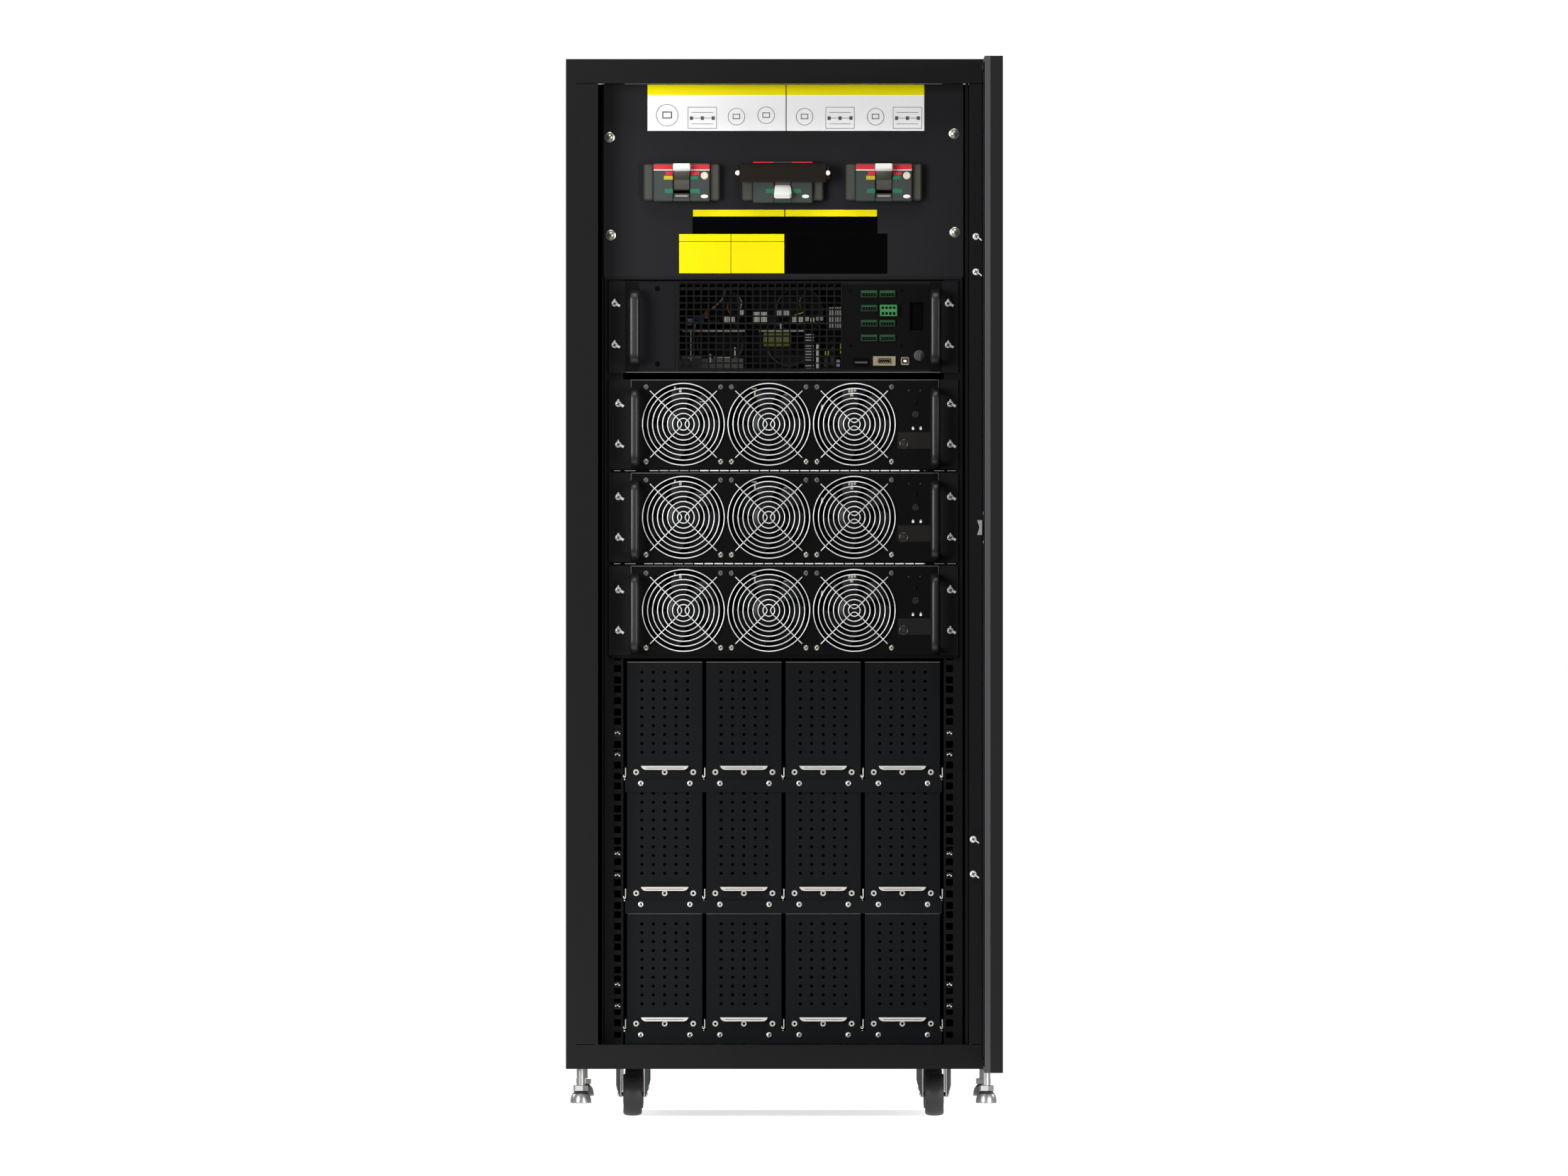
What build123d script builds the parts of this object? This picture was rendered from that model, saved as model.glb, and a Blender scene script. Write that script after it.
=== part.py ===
from build123d import *
from math import cos, radians, sin, sqrt
import os

os.makedirs("parts", exist_ok=True)

# Modular UPS cabinet, millimetres, +Z up, the front faces -Y.
# The origin is on the floor under the middle of the carcass.

# Carcass
cabinet_width = 600.0
cabinet_depth = 1060.0
cabinet_height = 1458.0
base_height = 65.8
sheet = 2.0
side_fold = 14.7
header_height = 33.3
sill_height = 33.2
channel_depth = 70.0
front_post_width = 29.5
front_post_depth = 50.0
cover_fold = 20.0
pan_depth = 10.0
seam = 0.8
rear_fold = 20.0
vent_width = 420.0
vent_height = 9.0
vent_pitch = 34.0
rear_vent_rows = 14
rear_vent_offset = 275.0

# Rack rails and the uprights at the shelves' back ends
rail_recess = 58.0
rail_outer_x = 247.0
rail_flange = 26.0
rail_return = 32.0
rail_hole = 9.5
rail_hole_x = 229.0
rack_unit = 44.45
rack_unit_spacing = 15.875
shelf_depth = 620.0

# Switch panel and breakers
switch_panel_width = 496.0
switch_panel_height = 266.0
breaker_pitch = 139.5
breaker_drop = 136.2
breaker_width = 105.0
breaker_height = 53.0
breaker_depth = 14.0
breaker_nose_width = 78.0
breaker_nose_height = 47.0
breaker_nose_depth = 8.0
lever_slot_width = 24.0
lever_slot_height = 42.0
lever_neck_width = 14.0
lever_neck_thickness = 9.0
lever_cap_width = 24.0
lever_cap_length = 15.0
lever_cap_thickness = 11.0
lever_length = 36.0
lever_throw = 35.0
lever_pivot_depth = 4.0
lever_pin_radius = 2.0
lock_bar_width = 131.0
lock_bar_height = 26.3
lock_bar_depth = 10.0
lock_bar_rise = 13.3

# Plug-in modules
module_width = 482.0
module_body_width = 424.0
face_thickness = 3.0
tray_rise = 1.6
tray_left = -210.4
tray_right = 214.0
module_depth = 560.0
module_wall = 2.0
module_drop = 335.8
bypass_to_power = 134.2
power_pitch = 128.4
power_modules = 3
power_face_height = 123.4
bypass_face_height = 127.0
body_above = 55.0
body_below = 59.0
shelf_thickness = 1.5
seat_gap = 0.3

# Fans of a power module
fan_x = (-138.1, -20.2, 97.7)
fan_bay_radius = 57.2
fan_bay_depth = 48.0
tip_clearance = 5.2
rotor_front = 10.0
rotor_depth = 28.0
rotor_hub_radius = 21.0
rotor_cap_radius = 9.0
rotor_cap_rise = 1.5
rotor_blades = 7
blade_chord = 30.0
blade_thickness = 1.6
blade_pitch = 35.0
motor_mount_radius = 21.0
round_sides = 24
hub_sides = 14
running_clearance = 0.05
running_gap = 0.3

# Fan guards
guard_rings = 8
guard_inner_radius = 8.1
guard_ring_pitch = 6.9
guard_wire = 1.8
guard_sides = 8
guard_screw_offset = 51.5
guard_pad = 7.0
guard_standoff = 3.0

# Handles of the modules
handle_width = 12.0
handle_length = 107.0
handle_reach = 38.0
handle_grip = 11.0
handle_x = (-205.9, 209.8)
handle_drop = 3.9
bypass_handle_width = 14.0
bypass_handle_length = 104.0

# Grille and card slot of the bypass module
grille_left = -145.2
grille_right = 81.3
connector_plate_right = 202.0
grille_height = 118.0
grille_columns = 22
grille_rows = 13
grille_bar = 2.0
grille_bar_depth = 1.1
grille_rim = 4.0
card_slot_x = 183.3
card_slot_rise = 14.8
card_slot_width = 18.7
card_slot_height = 38.0

# Boards, terminals and sockets of the bypass module
board_recess = 40.0
board_depth = 260.0
board_margin = 5.2
board_rise = 8.0
board_thickness = 2.0
board_leg = 4.0
board_parts = ((30, 60, 36, 100, 50), (-34, 70, 42, 40, 42), (-128, 60, 32, 60, 62))
terminal_x = (118.1, 143.4)
terminal_rises = (45.7, 26.0, 5.1, -15.0)
terminal_width = 22.6
terminal_height = 9.4
terminal_reach = 4.0
sockets = ((96.7, 117.5, 3.0, 11.3), (123.4, 154.7, 5.0, 13.0), (161.8, 173.6, 3.0, 10.9))
socket_rise = -47.2

# Battery packs
pack_row_share = (0.6813, 0.3704, 0.0354)
pack_height_share = 0.3016
pack_pitch = 109.3
pack_width = 103.6
pack_depth = 420.0
pull_bar_width = 65.4
pull_bar_thickness = 5.6
pull_bar_reach = 9.0
pull_bar_rise = 15.7
pull_bar_taper = 45.0
shelf_lip = 18.0
shelf_half_width = 218.6

# Front door, drawn open at a right angle
door_thickness = 25.0
door_gap = 8.0
door_stile = 30.0
door_lock_stile = 84.0
door_skin = 2.0
door_frame_thickness = 7.8
door_crossbar = 44.0
door_vent_rows = 10
door_vent_width = 400.0
door_vent_offset = 330.0
door_edge_radius = 6.0
door_top_drop = 1.6
hinge_from_top = 269.0
hinge_from_bottom = 292.2
hinge_pin_radius = 4.0
hinge_knuckle_radius = 7.0
hinge_knuckle_height = 40.0
hinge_pin_reach = 10.0
hinge_leaf_width = 27.0
hinge_leaf_height = 66.0
hinge_leaf_thickness = 3.0
hinge_notch_radius = 17.0
lock_from_top = 646.5
lock_from_edge = 60.0
lock_height = 20.0
lock_width = 18.0
lock_reach = 10.0
lock_waist = 3.0
lock_plate_height = 56.0
lock_plate_margin = 3.0
lock_plate_thickness = 2.0

# Castors and levelling feet
castor_from_side = 91.6
castor_from_end = 120.0
castor_plate = 62.0
castor_plate_thickness = 2.8
castor_trail = 20.0
wheel_radius = 29.8
wheel_width = 25.5
wheel_hub_radius = 9.0
axle_radius = 4.0
axle_reach = 6.0
fork_inner_width = 31.4
fork_wall = 2.0
fork_flange = 5.0
fork_flange_height = 15.7
fork_leg_depth = 24.0
fork_leg_below_axle = 2.5
fork_crown_thickness = 3.0
kingpin_radius = 6.0
foot_from_side = 20.5
foot_from_end = 15.0
foot_bottom_z = 18.4
foot_rim_height = 3.6
foot_bell_height = 17.6
foot_neck_radius = 8.3
foot_nut_height = 7.3
foot_nut_width = 19.9
foot_radius = 14.2
foot_stem_radius = 5.6

# Planes and edges that the pieces share
front_y = -cabinet_depth / 2
back_y = cabinet_depth / 2
half_inner = cabinet_width / 2 - side_fold
header_z = cabinet_height - header_height
sill_z = base_height + sill_height
rail_y = front_y + rail_recess
rear_post_y = rail_y + sheet + shelf_depth
face_y = rail_y - seat_gap - face_thickness
panel_y = rail_y - sheet
tray_y = face_y - tray_rise
pan_top = base_height + pan_depth
breaker_z = header_z - breaker_drop
lock_bar_z = breaker_z + lock_bar_rise
bypass_z = header_z - module_drop
power_module_z = [bypass_z - bypass_to_power - power_pitch * count for count in range(power_modules)]
pack_bay_height = power_module_z[-1] - power_face_height / 2 - sill_z
pack_rows_z = [sill_z + share * pack_bay_height for share in pack_row_share]
pack_height = pack_height_share * pack_bay_height
middle_z = (base_height + cabinet_height) / 2
rear_vent_z = (middle_z - rear_vent_offset, middle_z + rear_vent_offset)
door_vent_z = (middle_z - door_vent_offset, middle_z + door_vent_offset)
hinge_z = (cabinet_height - hinge_from_top, base_height + hinge_from_bottom)
lock_z = cabinet_height - lock_from_top
castor_x = cabinet_width / 2 - castor_from_side
castor_y = cabinet_depth / 2 - castor_from_end
foot_x = cabinet_width / 2 - foot_from_side
foot_y = cabinet_depth / 2 - foot_from_end


def keep(piece, node):
    piece.part.label = node
    export_step(piece.part, f"parts/{node}.step")


def slab(x0, x1, y0, y1, z0, z1, mode=Mode.ADD):
    with Locations(((x0 + x1) / 2, (y0 + y1) / 2, (z0 + z1) / 2)):
        Box(x1 - x0, y1 - y0, z1 - z0, mode=mode)


def folded(plane, corners, length):
    """A sheet folded along a line of corners, its thickness to the left of that line."""
    with BuildSketch(plane) as profile:
        with BuildLine():
            Polyline(*corners)
            offset(amount=sheet, side=Side.LEFT, kind=Kind.INTERSECTION)
        make_face()
    extrude(profile.sketch, amount=length)


# Side panels: folded trays, open to the inside
with BuildPart() as side_panels:
    slab(half_inner, cabinet_width / 2, front_y, back_y, base_height, cabinet_height)
    offset(amount=-sheet, openings=side_panels.faces().sort_by(Axis.X)[0])
    mirror(about=Plane.YZ)
keep(side_panels, "side_panels")

# Header and sill: channels across the front
with BuildPart() as front_header:
    deep = front_y + channel_depth
    corners = [(deep, cabinet_height), (front_y, cabinet_height), (front_y, header_z), (deep, header_z)]
    folded(Plane.YZ.offset(-half_inner), corners, 2 * half_inner)
keep(front_header, "front_header")

with BuildPart() as front_sill:
    deep = front_y + channel_depth
    corners = [(deep, sill_z), (front_y, sill_z), (front_y, base_height), (deep, base_height)]
    folded(Plane.YZ.offset(-half_inner), corners, 2 * half_inner)
keep(front_sill, "front_sill")

# Front posts: channels that stand on the sill
with BuildPart() as front_posts:
    inner = half_inner - front_post_width
    deep = front_y + front_post_depth
    corners = [(half_inner, deep), (half_inner, front_y), (inner, front_y), (inner, deep)]
    folded(Plane.XY.offset(sill_z + seam), corners[::-1], header_z - sill_z - 2 * seam)
    mirror(about=Plane.YZ)
keep(front_posts, "front_posts")

# Top cover, base pan and rear panel: folded trays
with BuildPart() as top_cover:
    y0 = front_y + channel_depth
    y1 = back_y - rear_fold
    slab(-half_inner, half_inner, y0, y1, cabinet_height - cover_fold, cabinet_height)
    offset(amount=-sheet, openings=top_cover.faces().sort_by(Axis.Z)[0])
keep(top_cover, "top_cover")

with BuildPart() as base_pan:
    y0 = front_y + channel_depth
    y1 = back_y - rear_fold
    slab(-half_inner, half_inner, y0, y1, base_height, pan_top)
    offset(amount=-sheet, openings=base_pan.faces().sort_by(Axis.Z)[0])
keep(base_pan, "base_pan")

with BuildPart() as rear_panel:
    slab(-half_inner, half_inner, back_y - rear_fold, back_y, base_height, cabinet_height)
    offset(amount=-sheet, openings=rear_panel.faces().sort_by(Axis.Y)[0])
    for z in rear_vent_z:
        with BuildSketch(Plane.XZ.offset(-back_y)):
            with Locations((0, z)):
                with GridLocations(0, vent_pitch, 1, rear_vent_rows):
                    Rectangle(vent_width, vent_height)
        extrude(amount=sheet * 2, mode=Mode.SUBTRACT)
keep(rear_panel, "rear_panel")

# Rack rails with square holes at the rack spacing
with BuildPart() as rack_rails:
    inner = rail_outer_x - rail_flange
    corners = [(inner, rail_y), (rail_outer_x, rail_y), (rail_outer_x, rail_y + rail_return)]
    folded(Plane.XY.offset(sill_z), corners, header_z - sill_z)
    units = int((power_module_z[-1] - power_face_height / 2 - sill_z) // rack_unit)
    with BuildSketch(Plane.XZ.offset(-rail_y)):
        for unit in range(units):
            for hole in range(3):
                z = sill_z + rack_unit * unit + 14.0 + rack_unit_spacing * hole
                with Locations((rail_hole_x, z)):
                    Rectangle(rail_hole, rail_hole)
    extrude(amount=-3 * sheet, both=True, mode=Mode.SUBTRACT)
    mirror(about=Plane.YZ)
keep(rack_rails, "rack_rails")

# Uprights that carry the back ends of the shelves
with BuildPart() as rear_posts:
    inner = rail_outer_x - rail_flange
    corners = [(inner, rear_post_y), (rail_outer_x, rear_post_y), (rail_outer_x, rear_post_y + rail_return)]
    folded(Plane.XY.offset(pan_top), corners, cabinet_height - sheet - pan_top)
    mirror(about=Plane.YZ)
keep(rear_posts, "rear_posts")

# Shelves under the modules
module_floors = [bypass_z - body_below] + [z - body_below for z in power_module_z]
with BuildPart() as module_shelves:
    shelf_x = rail_outer_x - sheet
    for floor in module_floors:
        top = floor - seat_gap
        slab(-shelf_x, shelf_x, rail_y + sheet, rear_post_y, top - shelf_thickness, top)
keep(module_shelves, "module_shelves")

# Shelves under the battery packs, with a lip down the front
with BuildPart() as battery_shelves:
    shelf_x = rail_outer_x - sheet
    for top in pack_rows_z:
        slab(-shelf_x, shelf_x, rail_y + sheet, rear_post_y, top - sheet, top)
        slab(-shelf_half_width, shelf_half_width, rail_y - sheet, rail_y + sheet, top - sheet, top)
        slab(-shelf_half_width, shelf_half_width, rail_y - sheet, rail_y, top - shelf_lip, top)
keep(battery_shelves, "battery_shelves")

# Switch panel across the top of the rails
with BuildPart() as breaker_panel:
    z1 = header_z - 0.5
    half = switch_panel_width / 2
    slab(-half, half, panel_y, rail_y, z1 - switch_panel_height, z1)
keep(breaker_panel, "breaker_panel")


# Breakers: moulded cases with a nose, a lever slot and the lever's pin
def breaker_case(x):
    nose_y = panel_y - breaker_depth - breaker_nose_depth
    with BuildPart() as case:
        half = breaker_width / 2
        slab(x - half, x + half, panel_y - breaker_depth, panel_y, breaker_z - breaker_height / 2,
             breaker_z + breaker_height / 2)
        half = breaker_nose_width / 2
        slab(x - half, x + half, nose_y, panel_y, breaker_z - breaker_nose_height / 2,
             breaker_z + breaker_nose_height / 2)
        half = lever_slot_width / 2
        slab(x - half, x + half, nose_y, panel_y - 1, breaker_z - lever_slot_height / 2,
             breaker_z + lever_slot_height / 2, Mode.SUBTRACT)
        with Locations(Location((x, panel_y - lever_pivot_depth - lever_neck_thickness / 2, breaker_z), (0, 90, 0))):
            Cylinder(lever_pin_radius, lever_slot_width + 2)
    return case


breaker_x = (-breaker_pitch - 1, -1, breaker_pitch - 1)
lever_pivot_y = panel_y - lever_pivot_depth - lever_neck_thickness / 2
with BuildPart() as breakers:
    for x in breaker_x:
        add(breaker_case(x).part)
keep(breakers, "breakers")


# Toggles: a flat neck on the pin and a wide cap, thrown up or down
def toggle(x, angle):
    with BuildPart() as lever:
        with BuildSketch(Plane.YZ.offset(x - lever_neck_width / 2)):
            with Locations((lever_pivot_y, breaker_z)):
                Circle(lever_neck_thickness / 2)
                with Locations((-lever_length / 2, 0)):
                    Rectangle(lever_length, lever_neck_thickness)
        extrude(amount=lever_neck_width)
        with BuildSketch(Plane.YZ.offset(x - lever_cap_width / 2)):
            with Locations((lever_pivot_y - lever_length + lever_cap_length / 2, breaker_z)):
                Rectangle(lever_cap_length, lever_cap_thickness)
        extrude(amount=lever_cap_width)
        with Locations(Location((x, lever_pivot_y, breaker_z), (0, 90, 0))):
            Cylinder(lever_pin_radius + running_clearance, lever_neck_width * 2, mode=Mode.SUBTRACT)
    pivot = Axis((x, lever_pivot_y, breaker_z), (1, 0, 0))
    lever.part = lever.part.rotate(pivot, -angle)
    return lever


keep(toggle(breaker_x[0], lever_throw), "toggle_main")
keep(toggle(breaker_x[2], lever_throw), "toggle_output")
keep(toggle(breaker_x[1], -lever_throw), "bypass_toggle")

# Lock bar across the bypass breaker
with BuildPart() as bypass_lock_bar:
    x = breaker_x[1]
    y1 = panel_y - breaker_depth - breaker_nose_depth
    y0 = y1 - lock_bar_depth
    half = lock_bar_width / 2
    slab(x - half, x + half, y0, y1, lock_bar_z - lock_bar_height / 2, lock_bar_z + lock_bar_height / 2)
    for side in (-1, 1):
        end = x + side * (half - 4)
        slab(end - 4, end + 4, y1, panel_y, lock_bar_z - 6, lock_bar_z + 6)
keep(bypass_lock_bar, "bypass_lock_bar")


# Handles: flat bars bent to a U, their feet on the face
def handle_pair(z, width, length, foot_y, node):
    with BuildPart() as handles:
        for x in handle_x:
            with BuildSketch(Plane.YZ.offset(x - width / 2)) as bow:
                with Locations((face_y - handle_reach / 2, z)):
                    RectangleRounded(handle_reach + 20, length, 14)
                    Rectangle(handle_reach + 20 - 2 * handle_grip, length - 2 * handle_grip, mode=Mode.SUBTRACT)
                with Locations((foot_y + handle_reach / 2, z)):
                    Rectangle(handle_reach, length * 2, mode=Mode.SUBTRACT)
            extrude(amount=width)
    keep(handles, node)


# Power modules: face with ears, a raised tray on it, a body behind it and three round fan bays.
# A motor mount stands in each bay, with the fan's rotor running in front of it.
for number, z in enumerate(power_module_z, start=1):
    with BuildPart() as housing:
        half = module_width / 2
        slab(-half, half, face_y, face_y + face_thickness, z - power_face_height / 2, z + power_face_height / 2)
        slab(tray_left, tray_right, tray_y, face_y, z - power_face_height / 2, z + power_face_height / 2)
        half = module_body_width / 2
        slab(-half, half, face_y, face_y + module_depth, z - body_below, z + body_above)
        with BuildSketch(Plane.XZ.offset(-tray_y)):
            with Locations(*[(x, z) for x in fan_x]):
                RegularPolygon(fan_bay_radius, round_sides)
        extrude(amount=-tray_rise - fan_bay_depth, mode=Mode.SUBTRACT)
        with BuildSketch(Plane.XZ.offset(-face_y - fan_bay_depth)):
            with Locations(*[(x, z) for x in fan_x]):
                RegularPolygon(motor_mount_radius, hub_sides)
        extrude(amount=fan_bay_depth - rotor_front - rotor_depth - running_gap)
    keep(housing, f"power_module_{number}_housing")

    with BuildPart() as guards:
        for column, x in enumerate(fan_x):
            with BuildSketch(Plane.XZ.offset(-tray_y + guard_standoff + guard_wire + seat_gap)):
                with Locations((x, z)):
                    for ring in reversed(range(guard_rings)):
                        radius = guard_inner_radius + guard_ring_pitch * ring
                        RegularPolygon(radius + guard_wire / 2, guard_sides)
                        RegularPolygon(radius - guard_wire / 2, guard_sides, mode=Mode.SUBTRACT)
            extrude(amount=guard_wire)
            with BuildSketch(Plane.XZ.offset(-tray_y + guard_standoff)):
                for side in (-1, 1):
                    corner = guard_screw_offset
                    tip = guard_inner_radius
                    along = [(corner, corner), (tip, 0), (corner, -corner)]
                    if column == 2:
                        along = [(v, u) for u, v in along]
                    with BuildLine() as bent:
                        Polyline(*[(x + side * u, z + side * v) for u, v in along])
                    trace(bent.line, guard_wire)
            extrude(amount=guard_wire)
            with BuildSketch(Plane.XZ.offset(-tray_y)):
                with Locations((x, z)):
                    with GridLocations(2 * guard_screw_offset, 2 * guard_screw_offset, 2, 2):
                        Rectangle(guard_pad, guard_pad)
            extrude(amount=guard_standoff + guard_wire)
    keep(guards, f"power_module_{number}_guards")

    handle_pair(z - handle_drop, handle_width, handle_length, tray_y, f"power_module_{number}_handles")


# Fan rotors: a hub with a round cap, and flat blades set at a pitch
def rotor(x, z):
    front = face_y + rotor_front
    middle = front + rotor_depth / 2
    with BuildPart() as fan:
        with BuildSketch(Plane.XZ.offset(-front)):
            with Locations((x, z)):
                RegularPolygon(rotor_hub_radius, hub_sides)
        extrude(amount=-rotor_depth)
        with BuildSketch(Plane.XZ.offset(-front)):
            with Locations((x, z)):
                Circle(rotor_cap_radius)
        extrude(amount=rotor_cap_rise)
        lean = radians(blade_pitch)
        root = rotor_hub_radius - 2 * blade_thickness
        tip = sqrt((fan_bay_radius - tip_clearance) ** 2 - (blade_chord / 2 * cos(lean)) ** 2)
        for blade in range(rotor_blades):
            turn = radians(360 / rotor_blades * blade)
            outward = Vector(cos(turn), 0, sin(turn))
            around = Vector(-sin(turn), 0, cos(turn))
            chord = around * cos(lean) + Vector(0, 1, 0) * sin(lean)
            with BuildSketch(Plane(Vector(x, middle, z) + outward * root, x_dir=chord, z_dir=outward)):
                Rectangle(blade_chord, blade_thickness)
            extrude(amount=tip - root)
    return fan


for number, z in enumerate(power_module_z, start=1):
    for column, x in enumerate(fan_x, start=1):
        keep(rotor(x, z), f"power_module_{number}_rotor_{column}")

# Bypass module: hollow housing, face, wire grille, boards, connectors, handles
bypass_floor = bypass_z - body_below
bypass_roof = bypass_z + body_above
with BuildPart() as bypass_housing:
    half = module_body_width / 2
    y0 = face_y + face_thickness
    slab(-half, half, y0, face_y + module_depth, bypass_floor, bypass_roof)
    slab(-half + module_wall, half - module_wall, y0, face_y + module_depth - module_wall,
         bypass_floor + module_wall, bypass_roof - module_wall, Mode.SUBTRACT)
keep(bypass_housing, "bypass_module_housing")

grille_x = (grille_left + grille_right) / 2
grille_width = grille_right - grille_left
plate_x = (grille_right + connector_plate_right) / 2
plate_width = connector_plate_right - grille_right
with BuildPart() as bypass_face:
    with BuildSketch(Plane.XZ.offset(-face_y)):
        with Locations((0, bypass_z)):
            Rectangle(module_width, bypass_face_height)
        with Locations(((grille_left + connector_plate_right) / 2, bypass_z)):
            Rectangle(connector_plate_right - grille_left, grille_height, mode=Mode.SUBTRACT)
    extrude(amount=-face_thickness)
keep(bypass_face, "bypass_module_face")

with BuildPart() as connector_plate:
    with BuildSketch(Plane.XZ.offset(-face_y)):
        with Locations((plate_x, bypass_z)):
            Rectangle(plate_width, grille_height)
        with Locations((card_slot_x, bypass_z + card_slot_rise)):
            Rectangle(card_slot_width, card_slot_height, mode=Mode.SUBTRACT)
    extrude(amount=-face_thickness)
keep(connector_plate, "bypass_connector_plate")

with BuildPart() as bypass_grille:
    with BuildSketch(Plane.XZ.offset(-face_y)):
        with Locations((grille_x, bypass_z)):
            Rectangle(grille_width, grille_height)
            Rectangle(grille_width - 2 * grille_rim, grille_height - 2 * grille_rim, mode=Mode.SUBTRACT)
    extrude(amount=-face_thickness)
    pitch_x = (grille_width - 2 * grille_rim) / grille_columns
    pitch_z = (grille_height - 2 * grille_rim) / grille_rows
    with BuildSketch(Plane.XZ.offset(-face_y)):
        with Locations((grille_x, bypass_z)):
            with GridLocations(pitch_x, 0, grille_columns - 1, 1):
                Rectangle(grille_bar, grille_height - grille_rim)
    extrude(amount=-grille_bar_depth)
    with BuildSketch(Plane.XZ.offset(-face_y - grille_bar_depth - seat_gap)):
        with Locations((grille_x, bypass_z)):
            with GridLocations(0, pitch_z, 1, grille_rows - 1):
                Rectangle(grille_width - grille_rim, grille_bar)
    extrude(amount=-grille_bar_depth)
keep(bypass_grille, "bypass_module_grille")

# Boards on a shelf behind the grille: a heat sink, a coil and a capacitor bank stand on it
with BuildPart() as boards:
    floor = bypass_floor + module_wall
    board_top = floor + board_rise
    y0 = face_y + board_recess
    y1 = y0 + board_depth
    board_left = grille_left + board_margin
    board_right = grille_right - board_margin
    slab(board_left, board_right, y0, y1, board_top - board_thickness, board_top)
    slab(board_left, board_left + board_leg, y0, y1, floor, board_top)
    slab(board_right - board_leg, board_right, y0, y1, floor, board_top)
    for x, y, width, depth, height in board_parts:
        slab(x, x + width, face_y + y, face_y + y + depth, board_top, board_top + height)
keep(boards, "bypass_module_boards")

# Terminal blocks in two columns, and three sockets in a row below them
with BuildPart() as connectors:
    for rise in terminal_rises:
        for x in terminal_x:
            slab(x - terminal_width / 2, x + terminal_width / 2, face_y - terminal_reach, face_y,
                 bypass_z + rise - terminal_height / 2, bypass_z + rise + terminal_height / 2)
    for x0, x1, reach, height in sockets:
        slab(x0, x1, face_y - reach, face_y, bypass_z + socket_rise - height / 2, bypass_z + socket_rise + height / 2)
keep(connectors, "bypass_module_connectors")
handle_pair(bypass_z, bypass_handle_width, bypass_handle_length, face_y, "bypass_module_handles")

# Battery packs: three rows of four, each with a pull bar
with BuildPart() as battery_packs:
    for floor in pack_rows_z:
        for column in range(4):
            x = (column - 1.5) * pack_pitch
            half = pack_width / 2
            slab(x - half, x + half, rail_y, rail_y + pack_depth, floor, floor + pack_height)
keep(battery_packs, "battery_packs")

# Pull bars: flat bars with tapered lower corners
with BuildPart() as battery_handles:
    for floor in pack_rows_z:
        with BuildSketch(Plane.XZ.offset(-rail_y)):
            for column in range(4):
                with Locations(((column - 1.5) * pack_pitch, floor + pull_bar_rise)):
                    Trapezoid(pull_bar_width, pull_bar_thickness, pull_bar_taper, rotation=180)
        extrude(amount=pull_bar_reach)
keep(battery_handles, "battery_handles")

# Front door, built where it stands open: its free edge points away from the cabinet
hinge_x = cabinet_width / 2 - door_thickness / 2
hinge_y = front_y - door_gap - door_thickness / 2
door_inside_x = cabinet_width / 2 - door_thickness
door_joint_x = door_inside_x + door_frame_thickness
door_top = cabinet_height - door_top_drop
door_bottom = base_height
door_hinge_y = hinge_y + door_thickness / 2
door_free_y = door_hinge_y - cabinet_width
notch_half = hinge_knuckle_height / 2 + seat_gap


def door_window(x0, x1):
    """The opening between the door's stiles and rails."""
    slab(x0, x1, door_free_y + door_lock_stile, door_hinge_y - door_stile, door_bottom + door_stile,
         door_top - door_stile, Mode.SUBTRACT)


def hinge_cuts(x0, x1):
    """Notches for the hinge knuckles, and the bores for their pins."""
    for z in hinge_z:
        slab(x0, x1, hinge_y - hinge_notch_radius, hinge_y + door_thickness, z - notch_half, z + notch_half,
             Mode.SUBTRACT)
        with Locations((hinge_x, hinge_y, z)):
            Cylinder(hinge_pin_radius + running_clearance, 2 * (notch_half + hinge_pin_reach + 1), mode=Mode.SUBTRACT)


with BuildPart() as door_shell:
    slab(door_joint_x, cabinet_width / 2, door_free_y, door_hinge_y, door_bottom, door_top)
    fillet(door_shell.edges().filter_by(Axis.Z).group_by(Axis.Y)[-1].sort_by(Axis.X)[-1], door_edge_radius)
    door_window(door_joint_x, cabinet_width / 2 - door_skin)
    vent_y = (door_free_y + door_lock_stile + door_hinge_y - door_stile) / 2
    with BuildSketch(Plane.YZ.offset(cabinet_width / 2)):
        for z in door_vent_z:
            with Locations((vent_y, z)):
                with GridLocations(0, vent_pitch, 1, door_vent_rows):
                    Rectangle(door_vent_width, vent_height)
    extrude(amount=-2 * door_skin, mode=Mode.SUBTRACT)
    hinge_cuts(door_joint_x, cabinet_width / 2)
keep(door_shell, "door_shell")

with BuildPart() as door_frame:
    slab(door_inside_x, door_joint_x, door_free_y, door_hinge_y, door_bottom, door_top)
    fillet(door_frame.edges().filter_by(Axis.Z).group_by(Axis.Y)[-1].sort_by(Axis.X)[0], door_edge_radius)
    door_window(door_inside_x, door_joint_x)
    middle = sum(door_vent_z) / 2
    slab(door_inside_x, door_joint_x, door_free_y + door_lock_stile, door_hinge_y - door_stile,
         middle - door_crossbar / 2, middle + door_crossbar / 2)
    hinge_cuts(door_inside_x, door_joint_x)
keep(door_frame, "door_inner_frame")

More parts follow.
